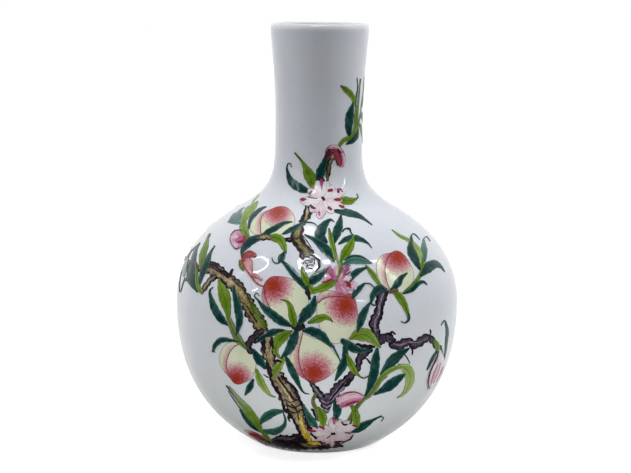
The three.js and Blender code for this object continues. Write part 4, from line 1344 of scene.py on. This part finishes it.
small_blooms = {
    "neck bud, outer petals": (rose, [(327.5, 158, 3), (328.5, 151.5, 7), (333, 148.5, 8),
        (338.5, 151.5, 8.5), (341.5, 158, 8), (341.5, 164.5, 6)]),
    "neck bud, pale rim": (rose_white, [(329.5, 147.5, 1.2), (333, 145.6, 2.4), (337, 146.6, 2.6),
        (340.6, 150.5, 1.4)]),
    "neck bud, pale side": (rose_white, [(343, 154, 1.4), (344.6, 159, 2.4), (344, 165, 1.6)]),
    "neck bud, red heart": (crimson, [(328.5, 157, 4), (330.8, 152.8, 6), (335, 152.5, 7), (338, 157.5, 7),
        (339.5, 163.5, 5)]),
    "neck bud, dark heart": (dark_crimson, [(328.6, 155.5, 2), (331, 152.8, 1.8), (334, 152.6, 1)]),
    "neck bud, left line": (dark_crimson, [(326, 159.5, 2.6), (326.6, 154.5, 3.4), (329.2, 150, 3)]),
    "neck bud, dark fleck": (dark_crimson, [(337.6, 149, 1.6), (339.8, 152.4, 2.4)]),
    "neck bud, fold": (dark_crimson, [(335.5, 160, 1), (337.5, 165, 1.6)]),
    "left bud, pale fringe": (pink, [(243.5, 240, 6), (240.5, 240, 15), (239, 240, 18.5)]),
    "left bud, upper petal": (rose, [(243, 238, 3), (240, 235.5, 4.4), (237, 233.5, 2)]),
    "left bud, middle petal": (rose, [(243.5, 240, 7), (239.5, 240.5, 11.5), (235.5, 240.5, 7)]),
    "left bud, lower petal": (rose, [(242.5, 242, 3), (240.5, 245, 4.4), (239, 248, 2)]),
    "left bud, flush": (magenta, [(244, 240, 6), (240.5, 241, 8), (237, 241.5, 4)]),
    "left bud, heart": (crimson, [(244, 240.8, 3.4), (241, 241.8, 3.6), (238, 242.4, 1.8)]),
    "left bud, dark heart": (dark_crimson, [(243.6, 241.6, 1.6), (240.6, 242.6, 1.8)]),
    "left bud, calyx": (cherry, [(244.6, 236.5, 2), (245, 240, 2.4), (243.6, 243.5, 1.6)]),
    "left bud, outer line": (dark_crimson, [(241.5, 230.6, 0.5), (236, 230.6, 0.5), (232, 234, 0.6),
        (230.6, 239, 0.6), (232, 245, 0.6), (236, 249.6, 0.6), (239.5, 247.5, 0.5)]),
    "red bud, body": (flushed, [(246, 258, 8), (247.5, 263, 11), (249.5, 268.5, 7.5), (251.5, 274, 3)]),
    "red bud, cap": (cherry, [(242.5, 262, 3), (245.5, 257, 6), (250, 254, 6.6), (254.5, 255.3, 4.6)]),
    "red bud, left line": (cherry, [(242, 261, 2), (244.5, 267, 1.8), (249, 273.5, 1.8), (253, 279, 1.6),
        (258, 284, 1.6), (263, 286.5, 1.6)]),
    "red bud, petal": (flushed, [(251, 274.5, 2), (256, 276, 4.4), (262, 279.3, 2)]),
    "red bud, petal line": (cherry, [(251.5, 275.8, 1), (257, 278.2, 1), (262, 280.3, 1)]),
    "cluster, left petal": (pink, [(330, 279, 4), (327, 277, 7), (325.5, 279, 5)]),
    "cluster, left upper petal": (magenta, [(333, 276, 3), (330.5, 272, 6.5), (329, 268, 4)]),
    "cluster, upper petal": (rose, [(335, 278, 5), (334.4, 274, 6.4), (334, 271, 4)]),
    "cluster, white fold": (faded_rose, [(336.5, 275, 3.4), (336, 269.5, 4.6), (336, 267, 3)]),
    "cluster, deep base": (magenta, [(327, 281.5, 1.6), (331.5, 279.6, 3), (336, 276.5, 2.6)]),
    "cluster, rose side": (rose, [(343.5, 271, 2), (342.8, 277, 6), (341, 283, 7.4), (338.5, 289, 6.6),
        (337, 292, 3)]),
    "cluster, purple petal": (violet, [(343.5, 275, 3.5), (346, 270.5, 8), (348, 267.5, 6)]),
    "cluster, pale rim": (rose_white, [(347, 274, 2), (350.5, 271, 3), (350, 267.5, 2)]),
    "cluster, middle petal": (rose_white, [(345, 279.4, 4), (347.4, 278.6, 7.2), (349, 278, 5)]),
    "cluster, right petal": (pink, [(349, 288, 6), (351.6, 286, 8.6), (353.6, 285, 7)]),
    "cluster, red heart": (cherry, [(346.8, 283, 2.4), (348.6, 285, 4.6), (350, 287.6, 2.6)]),
    "cluster, lower petal": (rose, [(337, 286, 4), (338.5, 288.5, 6), (339.5, 291, 5)]),
    "cluster, disc": (rose, [(341, 287, 7), (343, 289.5, 9.5), (344.5, 291.5, 7)]),
    "cluster, shine on the disc": (faded_rose, [(341.6, 287.6, 3.4), (343.6, 289.8, 5.6),
        (344.8, 291.6, 3.6)]),
    "cluster, right rim": (rose_white, [(354, 281.4, 1.4), (356, 285, 2.4), (355, 289.4, 1.6)]),
    "cluster, stem": (magenta, [(342, 268, 1.6), (343.6, 272, 2.2), (343, 276, 1.4)]),
    "cluster, line left": (crimson, [(322, 282.5, 1.2), (327, 281.8, 1.7), (331.5, 279.8, 1.4)]),
    "cluster, dark line": (dark_crimson, [(325, 272.5, 1.2), (328, 268, 1.5)]),
    "cluster, dark fleck": (dark_crimson, [(346.5, 275, 1.5), (350, 272, 1.2)]),
    "low bloom, pale petal": (pink, [(337.5, 402.5, 3), (341, 399, 8), (348, 396.4, 9.5), (356, 395.4, 8),
        (361, 396, 4.4)]),
    "low bloom, rose flush": (rose, [(341, 406, 3), (346, 402.5, 7), (353, 399.5, 7.5), (360, 397.5, 5)]),
    "low bloom, rose band": (magenta, [(342, 406, 2), (347, 403.5, 4.4), (353, 401, 4.4), (360, 398.5, 3)]),
    "low bloom, line": (crimson, [(340, 395.8, 0.5), (347, 392.6, 0.7), (354, 391.6, 0.7),
        (361.5, 393.8, 0.6)]),
    "low bloom, heart": (crimson, [(346, 404, 2), (352, 401.6, 2.6), (358, 400.6, 2)]),
    "edge bud, body": (blush_white, [(439, 351, 3), (440, 360, 7.5), (436.5, 370, 10.5), (432.5, 380, 8.5),
        (428.5, 388, 2.4)]),
    "edge bud, rose side": (pink, [(438.5, 363, 4), (435.5, 371, 8), (432, 380, 6.5), (429, 386.5, 2)]),
    "edge bud, left stripe": (rose, [(436.5, 364, 0.8), (433, 373, 1.6), (430, 383, 1.2)]),
    "edge bud, middle stripe": (rose, [(439.5, 363, 0.8), (436.5, 372, 1.6), (432, 382, 1.2)]),
    "edge bud, right stripe": (rose, [(442, 366, 0.7), (439.5, 373, 1.2), (435, 381, 0.9)]),
    "edge bud, outline": (dark_crimson, [(438, 351, 0.5), (434, 361, 0.5), (429.5, 372, 0.6),
        (427.4, 382, 0.6), (428.5, 388, 0.6)]),
    "root bud, red streak": (cherry, [(250, 433, 1.4), (256, 436.4, 2.4), (262, 439.4, 2)]),
    # Painted shade: the end of the small fruit darkens where it lies in the shade of the foot.
    "root bud, painted shade of the foot": (foot_shade_brown, [(258, 438, 2.4), (264, 440.6, 4.4), (269.5, 443, 3)]),
}
petals("small_blossoms", small_blooms, petal_height + bloom_lift)

low_blossom = {
    # The dark line under the blossom lies in the shaded band just above the foot: partly a drawn line, partly
    # painted shade.
    "dark line and painted shade under it": (dark_crimson, [(315, 437, 1.6), (321, 442, 2.6), (328, 445.3, 3),
        (336, 444.6, 3), (343, 441.8, 2), (350, 438.8, 1.4)]),
    "left petal": (faded_white, [(329, 433.5, 3), (321, 434, 6), (314, 432.5, 6.5), (309.5, 431, 3.5)]),
    "left upper petal": (faded_rose, [(329, 432, 3), (322, 429.5, 5.5), (315.5, 428.5, 5),
        (311, 428.5, 2.5)]),
    "upper left petal": (faded_rose, [(331, 431, 3), (326.5, 427.5, 6), (321, 425.5, 4.5)]),
    "far right petal": (faded_white, [(339, 431, 3), (346, 428.5, 6.5), (353, 426.5, 7),
        (356.5, 426, 4.5)]),
    "top right petal": (faded_white, [(337, 430, 3), (342, 426, 7), (347, 422.5, 5.5)]),
    "right of the top petal": (faded_rose, [(335, 430, 3), (338, 424.5, 7), (340, 421, 5)]),
    "top petal": (faded_white, [(333, 430, 4), (332.5, 424.5, 9), (333, 420.5, 7.5), (334, 418, 4)]),
    "lower right petal": (faded_rose, [(338, 433, 4), (345, 433.5, 7), (351.5, 433.5, 6)]),
    "far lower right petal": (faded_rose, [(337, 435, 4), (342.5, 437.5, 7), (348.5, 437.5, 5)]),
    "lower left petal": (faded_rose, [(329, 435, 3), (323, 437.5, 6.5), (318, 439, 4)]),
    "bottom left petal": (faded_rose, [(331, 436, 3), (327.5, 440, 7), (324, 442, 5)]),
    "bottom right petal": (faded_rose, [(335, 436, 3), (338.5, 439.5, 6.5), (340, 441, 4)]),
    "bottom petal": (faded_rose, [(333, 436, 4), (332.5, 440.5, 7), (332, 443.5, 5.5)]),
    "heart": (dark_crimson, [(331.6, 433.6, 1.8), (334.6, 433.2, 1.8)]),
    "tip of the top petal": (magenta, [(334, 418.8, 4), (334, 423, 2.4)]),
    "dark tip": (dark_crimson, [(333.4, 417.6, 1.6), (335.4, 417.4, 1.8)]),
    "tip upper left": (crimson, [(320, 426, 2), (324, 428.4, 1.8)]),
    "streak at the left": (crimson, [(308.5, 429.6, 2.2), (312, 430.4, 2.6), (316, 430.8, 1)]),
    "dark spot at the left": (dark_crimson, [(310.6, 427.6, 1.8), (312, 428, 1.6)]),
    "tip top right": (dark_crimson, [(341.6, 422, 1), (344, 424.2, 2), (347, 423.6, 1.2)]),
    "tip right": (crimson, [(352.5, 424.8, 1.4), (356, 425.6, 2.4)]),
    "line right": (dark_crimson, [(345, 432, 1), (350, 432.6, 1.4)]),
    "lines below": (dark_crimson, [(327, 437.4, 0.9), (330, 435.6, 1.1)]),
    "mark below": (dark_crimson, [(334, 441, 0.9), (337, 441.4, 2.2), (341, 440.6, 1.4)]),
    "mark lower left": (dark_crimson, [(322, 442.4, 1.5), (325, 442.2, 1.5)]),
    "mark lower right": (dark_crimson, [(347, 440, 1.2), (350.6, 438, 1.6), (352.4, 434.6, 1.2)]),
}
petals("blossom_at_the_bottom", low_blossom)


# The painting runs on round both edges. A leafy twig climbs the right side of the neck, and the branch that
# leaves at the left carries one more peach and a blossom on the back. They are drawn as from the side.
quarter_round = 90
round_the_back = -150
blossom_right = 19
blossom_down = 86

side_of_the_neck = {
    "pale leaf up the side": (pale_wash, [(296, 112, 2), (296, 104, 6.5), (296.5, 96, 7.5), (298, 88, 5),
        (300, 80, 1)]),
    "twig up the side": (green, [(295, 134, 3), (300, 124, 3.4), (304, 114, 3), (307, 105, 2)]),
    "dark leaf at the tip": (teal, [(306, 107, 3), (311, 99, 7.5), (313, 90, 7.5), (311, 79, 2)]),
    "young leaf at the tip": (green, [(307, 108, 3), (316, 103, 7.5), (325, 102, 7), (334, 107, 2)]),
    "dark leaf below": (teal, [(303, 118, 3), (312, 118, 8), (321, 122, 8), (329, 131, 2)]),
    "young leaf below": (green, [(300, 125, 2.5), (307, 130, 7), (313, 137, 7), (317, 146, 1.5)]),
}
leaves("leaves_round_the_neck", side_of_the_neck, quarter_round)

back_branch_strokes = {
    "branch round the side": (umber, [(439, 266, 8), (431, 271, 9), (422, 270, 9.5), (413, 272, 10),
        (404, 276, 10.5), (396, 284, 10), (389, 293, 9.5), (381, 301, 9), (371, 305, 8.5),
        (361, 306, 7.5)]),
    "twig upwards": (mossy, [(411, 271, 6), (403, 264, 5.5), (396, 256, 5), (388, 249, 4.5),
        (379, 243, 3)]),
    "twig to the left": (plum, [(363, 306, 7), (353, 302, 7), (344, 305, 6.5), (334, 302, 6.5),
        (324, 305, 6), (314, 301, 5), (304, 303, 4.5), (295, 300, 3.5)]),
    "stem of the fruit": (mossy, [(386, 296, 4.5), (387, 304, 4), (384, 312, 3.5)]),
    "tan on the branch": (tan, [(434, 268.5, 2), (424, 268.5, 3), (413, 270.5, 3), (403, 274.5, 2.4)]),
    "moss on the branch": (moss, [(396, 283, 3), (389, 291.5, 5), (381, 299.5, 4), (373, 304, 2.4)]),
    "lilac in the twig": (lilac, [(356, 303, 2), (345, 304.5, 2.6), (335, 302.5, 2.4), (324, 304, 2),
        (314, 301.5, 1.6)]),
    "crack along it": (soot, [(430, 271.4, 1.4), (420, 270.8, 1.8), (410, 274.4, 2), (401, 280.4, 1.8),
        (393, 290, 1.8), (385, 298.5, 1.4)]),
    "spur under it": (soot, [(396, 288, 3), (400, 292, 2.4), (401, 297, 1.2)]),
    "knob on it": (soot, [(424, 265.5, 3.4), (428, 262.5, 3.6), (430, 259, 1.6)]),
    "knob on the twig": (soot, [(334, 299, 3), (337, 296, 2.6), (338, 293, 1.2)]),
}
branches("branch_on_the_back", back_branch_strokes, round_the_back)

back_leaves = {
    "leaf over the fruit": (teal, [(385, 312, 2), (378, 310.5, 5), (369, 311, 7), (361, 316, 6),
        (356, 324, 2)]),
    "young leaf to its right": (green, [(386, 311, 3), (394, 310, 8), (403, 314, 9.5), (411, 322, 7),
        (417, 332, 2)]),
    "dark leaf down its right": (teal, [(389, 313, 2.5), (398, 319, 7), (405, 328, 8), (409, 338, 5),
        (409, 346, 1.5)]),
    "dark leaf by the branch": (teal, [(381, 304, 3), (391, 299, 7), (401, 298, 7.5), (411, 301, 4),
        (418, 306, 1.5)]),
    "young leaf upwards": (green, [(379, 243, 3), (376, 235, 8), (377, 226, 8), (381, 216, 2)]),
    "dark leaf upwards": (teal, [(379, 244, 3), (370, 239, 8), (362, 231, 8), (357, 221, 2)]),
    "dark leaf to the right": (teal, [(385, 247, 3), (393, 241, 7), (401, 239, 6), (409, 243, 1.5)]),
    "young leaf to the left": (green, [(386, 250, 3), (377, 252, 7), (368, 256, 7), (360, 263, 2)]),
    "leaf by the twig": (teal, [(399, 258, 3), (407, 256, 6), (415, 258, 5), (422, 263, 1.5)]),
    "leaf below the twig": (teal, [(399, 260, 2.5), (391, 264, 7), (383, 271, 6.5), (378, 280, 1.5)]),
    "end leaf": (teal, [(297, 300, 3), (288, 295, 7.5), (279, 293, 8), (269, 295, 2)]),
    "young end leaf": (green, [(298, 301, 3), (290, 307, 8), (283, 315, 8), (278, 325, 2)]),
    "leaf above the twig": (green, [(319, 302, 3), (313, 293, 7.5), (310, 283, 7.5), (312, 272, 2)]),
    "leaf under the twig": (teal, [(330, 304, 3), (326, 314, 8), (320, 323, 7.5), (312, 330, 2)]),
    "second leaf under it": (teal, [(350, 304, 2.5), (346, 313, 7), (345, 323, 7), (348, 333, 1.5)]),
    "third leaf under it": (green, [(306, 302, 2.5), (304, 311, 6.5), (300, 320, 6.5), (293, 327, 1.5)]),
}
leaves("leaves_on_the_back", back_leaves, round_the_back)

back_peach = (
    [(378, 313), (370, 317), (365, 325), (364.5, 334), (368, 342), (375, 350), (379, 355), (384, 356.5),
     (391, 354), (397, 350), (401, 340), (401, 330), (398, 324), (391, 317), (384, 313)],
    [(384, 316), (378, 320), (374, 326), (372, 333), (372, 340), (376, 349)], (382, 350, 23))
back_patch = carried_round(fruit(*back_peach, peach_height), round_the_back)
enamelled("peach_on_the_back", [back_patch], peach_enamel)

back_blossom = {}
for stroke_name, (tints, points) in neck_blossom.items():
    back_blossom[stroke_name] = (tints, [(x + blossom_right, y + blossom_down, w) for x, y, w in points])
petals("blossom_on_the_back", back_blossom, petal_height, round_the_back)


# The vase stands on a plain white floor in a white studio. The floor shows white to the camera,
# apart from the soft shadow under the foot.
floor_size = 12.0
floor_roughness = 0.9
floor_mirror = 0.1
shadow_start = 0.05
shadow_end = 0.16
shadow_glow = 0.74
pure_white = (1.0, 1.0, 1.0, 1.0)
floor_pale = (0.80, 0.80, 0.79, 1.0)
floor_paler = (0.84, 0.84, 0.83, 1.0)

bpy.ops.object.select_all(action="DESELECT")
bpy.ops.mesh.primitive_plane_add(size=floor_size, location=(0.0, 0.0, 0.0))
floor = bpy.context.object
floor.name = "studio_floor"
white_floor, floor_shader = finish_of("white_floor")
floor_cloud = cloudy(white_floor, 3.0, 0.0, 1.0)
joined(white_floor, blended(white_floor, floor_cloud, floor_pale, floor_paler), floor_shader, "Base Color")
floor_shader.inputs["Roughness"].default_value = floor_roughness
floor_shader.inputs["Specular IOR Level"].default_value = floor_mirror
seen_by = add_node(white_floor, "ShaderNodeLightPath").outputs
floor_place = add_node(white_floor, "ShaderNodeTexCoord").outputs["Object"]
floor_away = add_node(white_floor, "ShaderNodeVectorMath", {"operation": "LENGTH"}, i0=floor_place)
floor_glow = spread(white_floor, floor_away.outputs["Value"], shadow_start, shadow_end, shadow_glow, 1.0)
floor_light = reckoned(white_floor, "MULTIPLY", seen_by["Is Camera Ray"], floor_glow)
floor_shader.inputs["Emission Color"].default_value = pure_white
joined(white_floor, floor_light, floor_shader, "Emission Strength")
floor.data.materials.append(white_floor)
floor.visible_glossy = False


# The room is white to the camera. To the glaze it is dim on the camera's side and bright behind the vase,
# and white light comes from soft panels above and at both sides and from narrow spots in front.
room_dim = 0.063
spot_radius = 0.05
studio = bpy.data.worlds.new("studio")
bpy.context.scene.world = studio
studio.use_nodes = True
studio.node_tree.nodes.clear()
ray = add_node(studio, "ShaderNodeLightPath").outputs
straight = reckoned(studio, "MAXIMUM", ray["Is Glossy Ray"], ray["Is Transmission Ray"])
way = add_node(studio, "ShaderNodeTexCoord").outputs["Generated"]
way = add_node(studio, "ShaderNodeSeparateXYZ", Vector=way).outputs
room_behind = spread(studio, way["Y"], 0.05, 0.75, 0.0, 1.0)
room_above = spread(studio, way["Z"], -0.75, -0.25, 0.0, 1.0)
room_mirrored = reckoned(studio, "MULTIPLY", room_behind, room_above)
room_level = add_node(studio, "ShaderNodeMix", i0=straight, i2=room_dim, i3=room_mirrored).outputs[0]
room_level = add_node(studio, "ShaderNodeMix", i0=ray["Is Camera Ray"], i2=room_level, i3=1.0).outputs[0]
room = add_node(studio, "ShaderNodeBackground", Color=pure_white, Strength=room_level)
add_node(studio, "ShaderNodeOutputWorld", Surface=room.outputs[0])


def turned_towards(place, facing):
    return (Vector(facing) - Vector(place)).to_track_quat("-Z", "Y").to_euler()


def light_at(kind, name, place, facing, power, mirrored):
    bpy.ops.object.light_add(type=kind, location=place)
    light = bpy.context.object
    light.name = name
    light.rotation_euler = turned_towards(place, facing)
    light.data.energy = power
    light.visible_glossy = mirrored
    return light.data


def panel(name, place, facing, width, height, power, mirrored=False):
    data = light_at("AREA", name, place, facing, power, mirrored)
    data.shape = "RECTANGLE"
    data.size = width
    data.size_y = height


def spot(name, place, facing, opening, power):
    data = light_at("SPOT", name, place, facing, power, mirrored=False)
    data.spot_size = math.radians(opening)
    data.spot_blend = 1.0
    data.shadow_soft_size = spot_radius


panel("top_panel", (0.0, -0.2, 1.4), (0.0, 0.0, 0.15), width=0.5, height=0.4, power=6.0)
panel("upper_left_panel", (-0.7, -0.1, 1.2), (0.0, 0.0, 0.1), width=0.5, height=0.4, power=4.1)
panel("left_panel", (-1.1, 0.1, 0.45), (0.0, 0.0, 0.05), width=0.9, height=0.7, power=2.8)
panel("right_panel", (1.1, 0.1, 0.85), (0.0, 0.0, 0.1), width=0.7, height=0.5, power=7.3)
spot("front_spot", (0.0, -1.5, 0.30), (0.0, -0.1, 0.10), opening=12, power=6.7)
spot("low_front_spot", (0.0, -1.5, 0.20), (0.0, -0.1, 0.06), opening=9, power=17.0)
spot("high_front_spot", (0.0, -1.2, 0.9), (0.0, -0.05, 0.10), opening=14, power=5.9)
spot("low_right_spot", (0.9, -0.55, 0.10), (0.07, -0.05, 0.035), opening=8, power=5.4)
spot("low_left_spot", (-0.9, -0.55, 0.10), (-0.07, -0.05, 0.03), opening=7, power=1.5)
panel(
    "front_stick", (0.122, -0.57, 1.165), (0.0, -0.09, 0.16),
    width=0.10, height=0.10, power=0.5, mirrored=True)


# The glaze mirrors the studio's bare lamps: a ring at the left, an umbrella in front, a box overhead
# and a few tubes. Only the glaze sees them; the light itself comes from the panels and spots.
flicker_low = 0.7
flicker_high = 1.2


def bare_lamp(name, strength):
    lamp_body = bpy.context.object
    lamp_body.name = name
    lit, shader = finish_of(name)
    shader.inputs["Emission Color"].default_value = pure_white
    flicker = cloudy(lit, 60.0, strength * flicker_low, strength * flicker_high)
    joined(lit, flicker, shader, "Emission Strength")
    lamp_body.data.materials.append(lit)
    lamp_body.visible_camera = False
    lamp_body.visible_diffuse = False
    lamp_body.visible_shadow = False
    return lit, shader, flicker


def facing_the_vase(place, facing, tallness):
    lamp_body = bpy.context.object
    lamp_body.scale = (1.0, tallness, 1.0)
    lamp_body.rotation_euler = turned_towards(place, facing)


def place_on(material):
    return add_node(material, "ShaderNodeTexCoord").outputs["Object"]


ring_place = (-0.684, -0.305, 0.876)
ring_radius = 0.140
ring_tube = 0.010
ring_strength = 30.0
ring_dim_side = 0.12
ring_bright_from = -0.2
bpy.ops.object.select_all(action="DESELECT")
bpy.ops.mesh.primitive_torus_add(
    major_radius=ring_radius, minor_radius=ring_tube, major_segments=48, minor_segments=12,
    location=ring_place)
facing_the_vase(ring_place, (-0.044, -0.089, 0.153), tallness=1.08)
lit, shader, flicker = bare_lamp("ring_lamp", ring_strength)
ring_side = add_node(lit, "ShaderNodeSeparateXYZ", Vector=place_on(lit)).outputs["X"]
ring_side = spread(lit, ring_side, -ring_radius, ring_radius * ring_bright_from, ring_dim_side, 1.0)
joined(lit, reckoned(lit, "MULTIPLY", flicker, ring_side), shader, "Emission Strength")

umbrella_place = (-0.102, -0.545, 1.045)
umbrella_radius = 0.138
umbrella_strength = 34.0
rim_inside = umbrella_radius * 0.78
rim_outside = umbrella_radius * 0.84
rib_spacing = math.pi / 8
bpy.ops.object.select_all(action="DESELECT")
bpy.ops.mesh.primitive_circle_add(
    vertices=64, radius=umbrella_radius, fill_type="NGON", location=umbrella_place)
facing_the_vase(umbrella_place, (-0.006, -0.097, 0.157), tallness=1.44)
lit, shader, flicker = bare_lamp("umbrella_lamp", umbrella_strength)
spoke = add_node(lit, "ShaderNodeVectorMath", {"operation": "LENGTH"}, i0=place_on(lit)).outputs["Value"]
umbrella_rim = spread(lit, spoke, rim_inside, rim_outside, 0.0, 1.0)
umbrella_way = add_node(lit, "ShaderNodeSeparateXYZ", Vector=place_on(lit)).outputs
umbrella_rib = reckoned(lit, "ARCTAN2", umbrella_way["Y"], umbrella_way["X"])
umbrella_rib = reckoned(lit, "PINGPONG", umbrella_rib, rib_spacing)
umbrella_rib = spread(lit, umbrella_rib, 0.10, 0.24, 0.05, 1.0)
umbrella_cloth = spread(lit, grain(lit, 45.0, 2.0), 0.47, 0.57, 0.3, 15.0)
umbrella_cloth = reckoned(lit, "MULTIPLY", umbrella_cloth, umbrella_rib)
umbrella_level = add_node(lit, "ShaderNodeMix", i0=umbrella_rim, i2=umbrella_cloth, i3=flicker).outputs[0]
joined(lit, umbrella_level, shader, "Emission Strength")

box_place = (-0.075, 0.083, 1.155)
box_width = 0.12
box_strength = 5.5
bpy.ops.object.select_all(action="DESELECT")
bpy.ops.mesh.primitive_plane_add(size=box_width, location=box_place)
facing_the_vase(box_place, (-0.006, -0.075, 0.178), tallness=1.45)
bare_lamp("overhead_box", box_strength)

tube_strength = 22.0
tubes = {
    "left_tube": ((-0.92, -0.261, 0.623), (-0.842, -0.278, 0.734), 0.006),
    "low_left_tube": ((-0.826, -0.614, 0.49), (-0.758, -0.652, 0.564), 0.008),
    "right_tube": ((0.589, -0.313, 0.961), (0.688, -0.166, 0.921), 0.012),
    "low_right_tube": ((0.542, -0.922, 0.393), (0.643, -0.857, 0.378), 0.008),
    "neck_right_tube": ((0.905, -0.321, 0.575), (0.675, -0.278, 0.92), 0.012),
    "overhead_tube": ((-0.008, 0.17, 1.15), (0.002, 0.31, 1.12), 0.014),
}
for tube_name, (tube_start, tube_end, tube_radius) in tubes.items():
    reach = Vector(tube_end) - Vector(tube_start)
    middle = (Vector(tube_start) + Vector(tube_end)) / 2
    bpy.ops.object.select_all(action="DESELECT")
    bpy.ops.mesh.primitive_cylinder_add(vertices=16, radius=tube_radius, depth=reach.length, location=middle)
    bpy.context.object.rotation_euler = reach.to_track_quat("Z", "Y").to_euler()
    bare_lamp(tube_name, tube_strength)

bpy.context.scene.view_settings.view_transform = "Standard"
